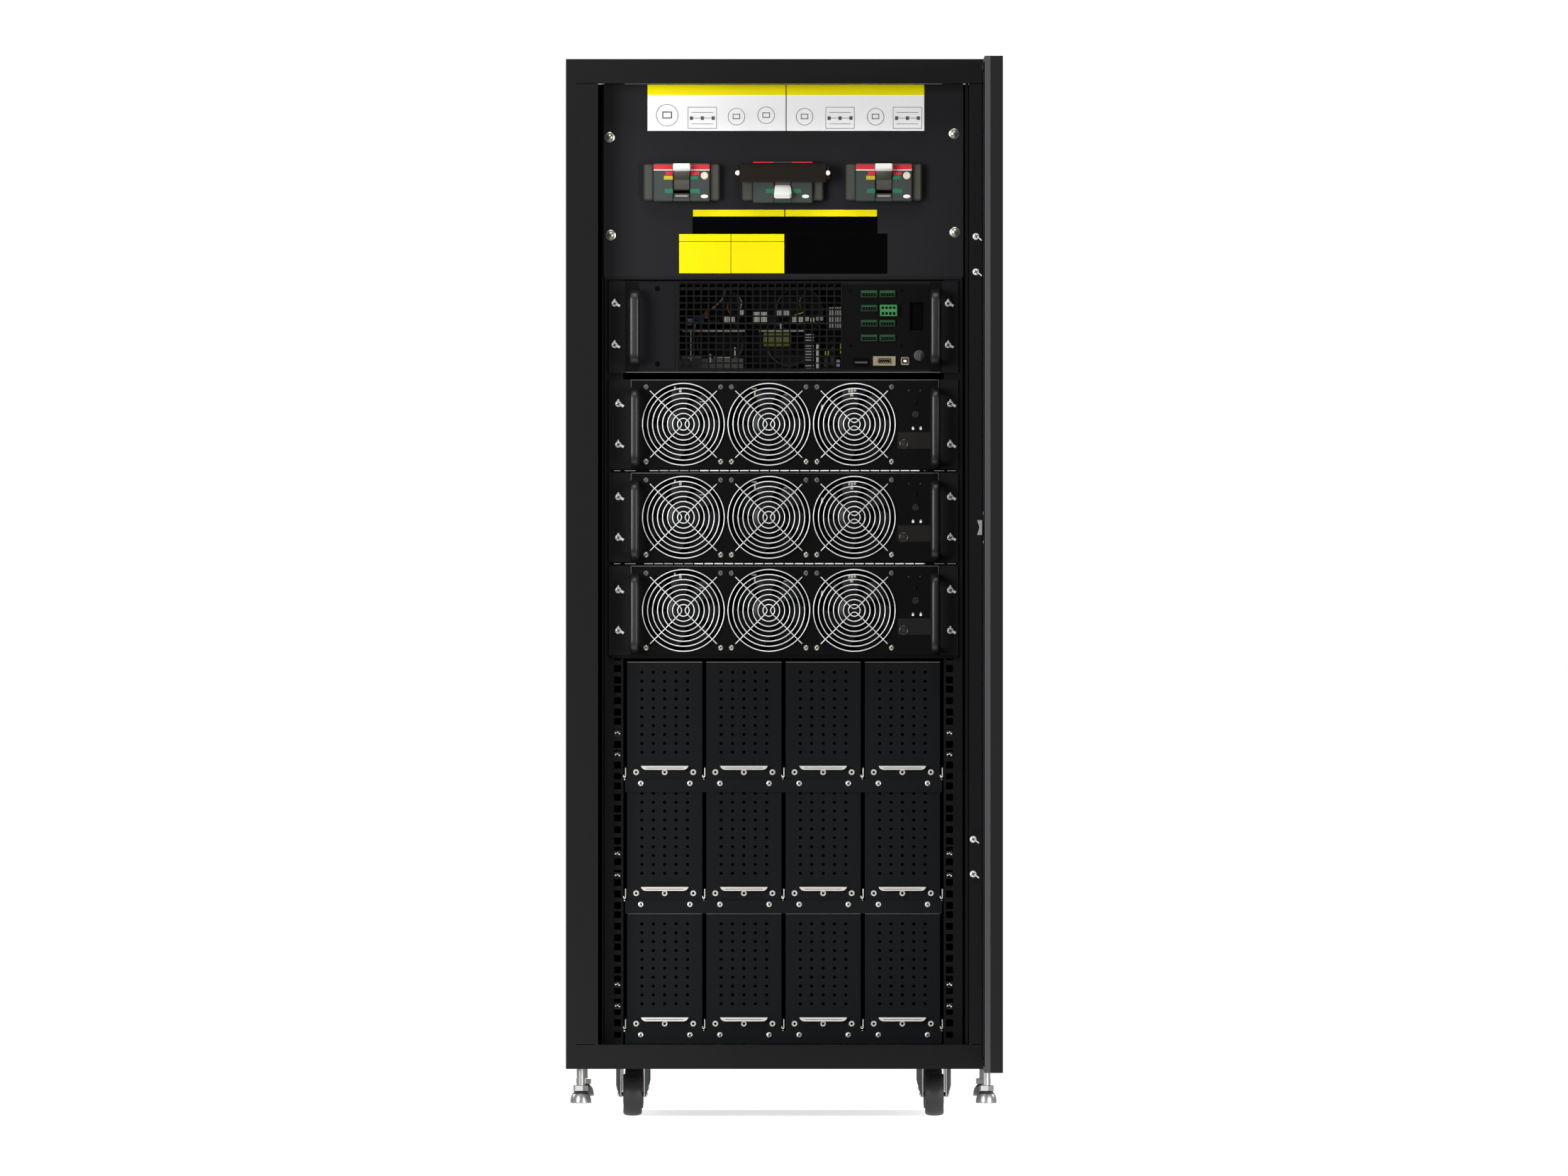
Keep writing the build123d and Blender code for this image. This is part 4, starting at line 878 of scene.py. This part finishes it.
        # The first five dashes and the short bits past both ends take the duller zinc; the rest are near-white.
        first, dashes = ((-184.6, 27), (-192.2, 28))[number - 1]
        for k in range(dashes):
            x = first + 13.85 * k
            block(face, (x, 1.5, gap_z - 0.6), (x + 12.0, 2.9, gap_z + 1.0), 0.2, bare if k < 5 else marks)
        for x0, x1 in ((-234, -225), (-219, -204), (194, 196), (208, 222), (226, 238)):
            block(face, (x0, 1.5, gap_z - 0.4), (x1, 2.9, gap_z + 0.5), 0.2, bare)
    else:
        block(face, (-239.4, 2, -66.2), (241.4, 4.7, -61.3), 0.4)
    fit(face, f"{module}_face", module,
        [plate_coat, fan_plastic, edge_highlight, satin_black_knob, brown_film, lens_red, lens_green, galvanised,
         recess_shadow, bare_zinc, cream_nylon_and_glints])
    ear_screws(f"{module}_ear_screws", module, (z + 28, z - 28), (-228.0, 230.0))
    handles(f"{module}_bows", module, z - 3.9, 13.0, 109.0, f"{module}_handles")
    for column, x in enumerate(fan_x, start=1):
        rotor(f"{module}_rotor_{column}", x, z)


# Fan guards: rings of 1.6 mm chromed wire spot-welded onto two wires, each bent to a V round the hub,
# with four pan-head screws at the corners, the upper two darker than the lower two as painted shade. Pale
# chrome that catches both front lights.
chrome_wire = finish("chromed_wire", "#fbfbfb", 0.3, metallic=0.4)
painted_shade_screw_metal = finish("painted_shade_screw_metal", "#6f7072", 0.5, metallic=1.0, grain_mm=1.5)
ring_wire, ring_pitch, inner_ring = 0.74, 6.9, 8.1
for number, z in enumerate(power_z, start=1):
    guards = Piece(0, tray_y, z)
    for column, x in enumerate(fan_x):
        for k in range(8):
            path = ring(x, -4.2, 0, inner_ring + ring_pitch * k, 24 + 6 * k)
            sweep(guards, path, circle(ring_wire), closed=True)
        for side in (-1, 1):
            arm = [(46, 1.0, 46), (46, -2.6, 46), (0, -2.6, 0), (46, -2.6, -46), (46, 1.0, -46)]
            if column == 2:
                arm = [(v, y, u) for u, y, v in arm]
            corners = [Vector((x + side * u, y, side * v)) for u, y, v in arm]
            path = (bend(corners[:3], 2.0, 5)[:-1] + bend(corners[1:4], 6.8, 8)[1:-1]
                    + bend(corners[2:], 2.0, 5)[1:])
            sweep(guards, path, circle(0.72), (1, 0, 0))
        # Upper screws in a darker metal as painted shade, lower ones in the pale panel-screw zinc.
        for across, up in product((-51.5, 51.5), repeat=2):
            lathe(guards, (x + across, 0, up), [(4.0, -0.2), (4.0, 0.5), (3.3, 1.4), (2.0, 1.9), (1.9, 1.2),
                                                (0, 1.0)], 16, 1 if up > 0 else 2)
            lathe(guards, (x + across, -1.05, up), [(1.9, 0), (0, 0.1)], 12, 3)
    fit(guards, f"power_module_{number}_wire_guards", f"power_module_{number}",
        [chrome_wire, painted_shade_screw_metal, dull_screw, recess_shadow],
        [f"power_module_{number}_guards"], 60)


# Battery packs: folded steel boxes, four on each shelf, their fronts punched with rows of vent holes that
# show black. Powder coat with a faint blue cast. Each has a bright plated pull bar, three ring-head screws
# and two screws in the shelf's lip.
pack_rows = (465.0, 298.0, 118.0)
pack_pitch, pack_width, pack_height, pack_depth, sheet = 109.3, 103.6, 162.0, 420.0, 1.2
hole_columns, hole_rows = 5, 10
hole_pitch_x, hole_pitch_z, hole_radius, first_hole = 15.7, 12.25, 2.25, 37.2
pack_coat = finish("pack_powder_coat", "#111315", 0.5, grain_mm=0.9, relief_mm=0.03, mottle=0.04, IOR=1.15)
vent_shadow = finish("shadow_behind_vents", "#030303", 0.9)
nickel_bar = finish("nickel_plated_bar", "#efede6", 0.32, metallic=0.6)
coat(pack_coat, "battery_shelves")
for row, floor in enumerate(pack_rows, start=1):
    packs, bars = Piece(0, rail_y, floor), Piece(0, rail_y, floor)
    for column in range(4):
        middle = (column - 1.5) * pack_pitch
        x0, x1 = middle - pack_width / 2, middle + pack_width / 2
        xs = [middle + (k - hole_columns / 2) * hole_pitch_x for k in range(hole_columns + 1)]
        zs = [first_hole + (k - 0.5) * hole_pitch_z for k in range(hole_rows + 1)]
        for (a, b), (c, d) in product(zip(xs, xs[1:]), zip(zs, zs[1:])):
            pierced(packs, (a, b, c, d), ((a + b) / 2, (c + d) / 2, hole_radius), 0, sheet, 12, wall=1)
        for a, b, c, d in ((x0, xs[0], 0, pack_height), (xs[-1], x1, 0, pack_height), (xs[0], xs[-1], 0, zs[0]),
                           (xs[0], xs[-1], zs[-1], pack_height)):
            block(packs, (a, 0, c), (b, sheet, d), 0)
        for a, b, c, d in ((x0, x0 + sheet, 0, pack_height), (x1 - sheet, x1, 0, pack_height),
                           (x0, x1, 0, sheet), (x0, x1, pack_height - sheet, pack_height)):
            block(packs, (a, 1, c), (b, pack_depth, d), 0.3)
        block(packs, (x0 + 2, 14, 2), (x1 - 2, pack_depth - 2, pack_height - 2), 0.3, 1)
        # A pale strip along each pack's top edge: painted highlight.
        block(packs, (x0, -0.35, pack_height - 0.9), (x1, 0.5, pack_height + 0.05), 0.3, 2)
        bar_z = 15.7
        edge = [(-32.7, 2.7), (32.7, 2.7), (32.2, 0.9), (29.8, -1.6), (26.5, -2.7), (-26.5, -2.7), (-29.8, -1.6),
                (-32.2, 0.9)]
        prism(bars, *[[(middle + u, y, bar_z + v) for u, v in edge] for y in (-9.0, 0.0)])
        # A thin line of painted shade across the bar's front.
        block(bars, (middle - 26, -9.3, bar_z - 0.5), (middle + 26, -8.8, bar_z + 0.1), 0.1, 1)
        for x in (-39.4, 0, 39.4):
            lathe(bars, (middle + x, 0, 9.7), [(4.1, -0.3), (4.1, 1.4), (3.5, 2.2), (2.0, 2.2), (1.7, 0.9),
                                               (0, 0.9)], 20)
            # A dark disc in each ring head: painted shade.
            lathe(bars, (middle + x, -0.95, 9.7), [(1.7, 0), (0, 0.05)], 12, 1)
        for x in (-33.0, 34.8):
            screw(bars, middle + x, -2, -5.7, 3.9, 2.2)
    for clip in range(-2, 3):
        x = clip * pack_pitch
        hook = bend([(x + u, -1.2, v) for u, v in ((0.6, 15.8), (0.6, 3.0), (-2.2, 3.0), (-2.2, 6.0))], 1.2, 4)
        sweep(bars, hook, circle(0.8, 6))
        lathe(bars, (x - 0.6, -0.4, -0.4), [(1.3, 0), (1.1, 0.6), (0, 0.7)], 10)
    fit(packs, f"battery_packs_{row}", "root", [pack_coat, vent_shadow, edge_highlight],
        ["battery_packs"] if row == 1 else ())
    fit(bars, f"pull_bars_{row}", "root", [nickel_bar, recess_shadow],
        ["battery_handles"] if row == 1 else ())


# Castors: a zinc-plated plate, a swivelling fork pressed from sheet with its legs' front edges folded
# outward, and a black rubber tyre on a nylon hub, turning on a steel axle with a nut at each end. The fork's
# crown and folded-out edges take a darker zinc: painted shade.
tyre_rubber = finish("black_rubber_tyre", "#1a1a1b", 0.5, grain_mm=1.5, relief_mm=0.05)
dark_nylon = finish("dark_nylon_hub", "#232325", 0.45)
painted_shade_zinc = finish("fork_zinc_in_painted_shade", "#484c4c", 0.5, metallic=0.3, grain_mm=1.5, relief_mm=0.01)
coat(zinc_plate, "castor_plates")
for place in ("front_left", "front_right", "rear_left", "rear_right"):
    low, high = (Vector(corner) * 1000 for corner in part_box(f"castor_wheel_{place}"))
    middle = (low + high) / 2
    radius = (high.z - low.z) / 2
    wheel = Piece()
    tread = [(radius - 5, 12.9), (radius - 2.6, 12.5), (radius - 1.1, 10), (radius - 0.3, 6), (radius, 2)]
    hub = [(radius - 5.4, 12.9), (radius - 8, 11), (11, 11), (9.5, 13)]
    for half, sides, paint in ((tread, 56, 0), (hub, 40, 1)):
        lathe(wheel, middle, [(reach, -across) for reach, across in half] + half[::-1], sides, paint, (1, 0, 0))
    fit(wheel, f"castor_tyre_{place}", f"castor_wheel_{place}", [tyre_rubber, dark_nylon],
        [f"castor_wheel_{place}"])
    low, high = (Vector(corner) * 1000 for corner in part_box(f"castor_fork_{place}"))
    leg_back, leg_front = middle.y + 12, middle.y - 12
    fork = Piece()
    block(fork, (low.x, low.y, high.z - 3), (high.x, leg_back, high.z), 0.6, 1)
    for side in (-1, 1):
        inner, wall, outer = (middle.x + side * reach for reach in (15.0, 17.4, (high.x - low.x) / 2))
        block(fork, (inner, leg_front, low.z), (wall, leg_back, high.z - 2), 0.5)
        edge = [(wall, high.z - 2), (outer, high.z - 2), (outer, low.z + 17), (outer - side * 1.2, low.z + 11),
                (wall + side * 0.8, low.z + 1), (wall, low.z)]
        prism(fork, *[[(x, y, z) for x, z in edge] for y in (leg_front, leg_front + 2)], 1)
        lathe(fork, (wall, middle.y, middle.z), [(3.8, -0.2), (3.8, 2.2), (3.2, 2.6), (2.0, 2.6), (2.0, 3.4),
                                                 (0, 3.4)], 6, axis=(side, 0, 0))
        lathe(fork, (middle.x + side * 12.6, middle.y, middle.z), [(3.2, 0), (3.2, 2.8)], 16, 2, (side, 0, 0))
    fit(fork, f"castor_pressed_fork_{place}", f"castor_fork_{place}", [zinc_plate, painted_shade_zinc, dark_nylon],
        [f"castor_fork_{place}"])


# Levelling feet: a turned steel stud with a hexagon nut, wound into the base, and a bell-shaped foot
# with a dark band round the top of its bell. Turned zinc plate that shows one bright vertical band of light.
foot_plate = finish("turned_zinc_foot", "#8f8f8e", 0.32, metallic=0.75, grain_mm=1.2, relief_mm=0.005)
feet = Piece()
for x, y in product((-279.5, 279.5), (-515.0, 515.0)):
    for profile, sides, paint in (
            ([(0, 18.5), (13.6, 18.5), (14.2, 19.1), (14.2, 22.0), (13.5, 26.0), (12.6, 29.0), (11.7, 31.0),
              (11.0, 31.2)], 40, 0),
            ([(11.4, 31.0), (9.6, 33.4), (7.6, 35.4)], 40, 1),
            ([(8.9, 35.2), (10.6, 35.6), (10.6, 42.6), (9.6, 43.2)], 6, 0),
            ([(5.6, 43.0), (5.6, 65.8)], 32, 0)):
        lathe(feet, (x, y, 0), profile, sides, paint, (0, 0, 1))
fit(feet, "levelling_feet_turned", "root", [foot_plate, dark_nylon], ["levelling_feet"], 30)


# Side panels: steel skins set 1 mm back in a folded rim, each held by four round quarter-turn latches.
# Textured black powder coat with blackened latches.
latch_black = finish("blackened_latch", "#444446", 0.35, metallic=0.6)
low, high = (Vector(corner) * 1000 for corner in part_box("side_panels"))
inner_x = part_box("rear_panel")[1][0] * 1000
rim = 24.0
sides = Piece()
for side in (-1, 1):
    inner, outer = side * inner_x, side * high.x
    for y0, y1 in ((low.y, low.y + rim), (high.y - rim, high.y)):
        block(sides, (inner, y0, low.z), (outer, y1, high.z), 0.05)
    for z0, z1 in ((low.z, low.z + rim), (high.z - rim, high.z)):
        block(sides, (inner, low.y + rim - 0.2, z0), (outer, high.y - rim + 0.2, z1), 0.05)
    skin, back = side * (high.x - 1.0), side * (high.x - 3.0)
    block(sides, (skin, low.y + rim + 0.6, low.z + rim + 0.6),
          (back, high.y - rim - 0.6, high.z - rim - 0.6), 0.3)
    for y, z in product((-440.0, 440.0), (360.0, 1180.0)):
        lathe(sides, (skin, y, z), [(13, -0.3), (13, 0.7), (12, 0.9), (10.5, 0.2), (0, 0.2)], 32, 1, (side, 0, 0))
        block(sides, (skin, y - 1.4, z - 8), (skin + side * 0.8, y + 1.4, z + 8), 0.2, 1)
fit(sides, "side_panel_skins", "root", [textured_powder_coat, latch_black], ["side_panels"])


# Rear panel: a steel skin in a folded rim, punched with two fields of louvres, each with its hood pressed
# out over the slot, and held by ten quarter-turn screws. Textured black powder coat.
low, high = (Vector(corner) * 1000 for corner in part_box("rear_panel"))
rear_y, rear_skin = high.y, high.y - 4.0
rear = Piece()
for x0, x1 in ((low.x, low.x + rim), (high.x - rim, high.x)):
    block(rear, (x0, low.y, low.z), (x1, rear_y, high.z), 0.05)
for z0, z1 in ((low.z, low.z + rim), (high.z - rim, high.z)):
    block(rear, (low.x + rim - 0.2, low.y, z0), (high.x - rim + 0.2, rear_y, z1), 0.05)
louvre_pitch, louvre_rows = 34.0, 14
slots = [middle + louvre_pitch * (row - (louvre_rows - 1) / 2) for middle in louvre_fields
         for row in range(louvre_rows)]
edges = [low.z + rim + 0.6] + [z + rise for z in slots for rise in (-4.5, 4.5)] + [high.z - rim - 0.6]
for z0, z1 in zip(edges[::2], edges[1::2]):
    block(rear, (-210, rear_skin - 0.9, z0), (210, rear_skin, z1), 0.02)
for x0, x1 in ((low.x + rim + 0.6, -210), (210, high.x - rim - 0.6)):
    block(rear, (x0, rear_skin - 0.9, edges[0]), (x1, rear_skin, edges[-1]), 0.02)
for z in slots:
    profile = [(rear_skin - 0.4, z + 8.5), (rear_y - 0.25, z - 0.5), (rear_y - 0.1, z - 3.0),
               (rear_y - 0.9, z - 3.0), (rear_skin - 1.0, z + 6.5)]
    prism(rear, *[[(x, y, height) for y, height in profile] for x in (-211.0, 211.0)])
for x, z in product((-262.0, 262.0), (130.0, 450.0, 762.0, 1074.0, 1394.0)):
    lathe(rear, (x, rear_skin - 0.1, z), [(6.5, 0), (6.5, 0.7), (5.6, 1.2), (4.6, 0.7), (0, 0.7)], 24, 1,
          (0, 1, 0))
    block(rear, (x - 4.2, rear_skin + 0.3, z - 0.7), (x + 4.2, rear_skin + 1.1, z + 0.7), 0.1, 1)
fit(rear, "rear_panel_skin", "root", [textured_powder_coat, latch_black], ["rear_panel"])


# Studio: a pale floor disc, large soft lights in front, above, behind and at the sides, and a white
# surround that the camera sees plain while it lights the cabinet gently.
studio_floor = finish("pale_matt_floor", "#f4f4f4", 0.9,
                      **{"Emission Color": (1, 1, 1, 1), "Emission Strength": 0.7})
bpy.ops.mesh.primitive_circle_add(vertices=96, radius=1.3, fill_type="NGON", location=(0, 0, 0))
floor = bpy.context.object
floor.name = "studio_floor"
floor.data.materials.append(studio_floor)


def soft_light(name, place, target, size, power):
    """A square area light aimed at a point, in metres and watts."""
    light = bpy.data.lights.new(name, "AREA")
    light.size = size
    light.energy = power
    lamp = bpy.data.objects.new(name, light)
    lamp.location = place
    lamp.rotation_euler = (Vector(target) - Vector(place)).to_track_quat("-Z", "Y").to_euler()
    bpy.context.scene.collection.objects.link(lamp)


soft_light("key_light", (-2.6, -4.4, 1.5), (0, -0.5, 0.8), 2.0, 185)
soft_light("fill_light", (3.0, -4.2, 0.9), (0, -0.5, 0.8), 2.2, 240)
soft_light("top_light", (0, -3.0, 4.4), (0, -0.3, 0.9), 1.4, 50)
soft_light("back_light", (0.5, 4.0, 2.8), (0, 0.5, 0.8), 2.0, 190)
soft_light("left_light", (-4.5, 1.0, 2.6), (-0.3, 0.1, 0.8), 1.6, 90)
soft_light("right_light", (4.5, 1.0, 2.6), (0.3, 0.1, 0.8), 1.6, 90)

world = bpy.data.worlds.new("white_surround")
world.use_nodes = True
tree = world.node_tree
tree.nodes.clear()
ray = add_node(tree, "ShaderNodeLightPath")
glow = add_node(tree, "ShaderNodeBackground", {"Color": (1, 1, 1, 1), "Strength": 0.15})
plain = add_node(tree, "ShaderNodeBackground", {"Color": (1, 1, 1, 1), "Strength": 1.0})
surround = add_node(tree, "ShaderNodeMixShader", links={0: ray.outputs["Is Camera Ray"]})
tree.links.new(glow.outputs[0], surround.inputs[1])
tree.links.new(plain.outputs[0], surround.inputs[2])
add_node(tree, "ShaderNodeOutputWorld", links={"Surface": surround.outputs[0]})
bpy.context.scene.world = world
bpy.context.scene.view_settings.view_transform = "Standard"

camera_data = bpy.data.cameras.new("front_camera")
camera_data.lens = 1200
camera_data.sensor_width = 36
camera_data.clip_end = 120
camera = bpy.data.objects.new("front_camera", camera_data)
camera.location = (0.00068, -0.530 - 72.05, 0.7288)
camera.rotation_euler = (pi / 2, 0, 0)
bpy.context.scene.collection.objects.link(camera)
bpy.context.scene.camera = camera
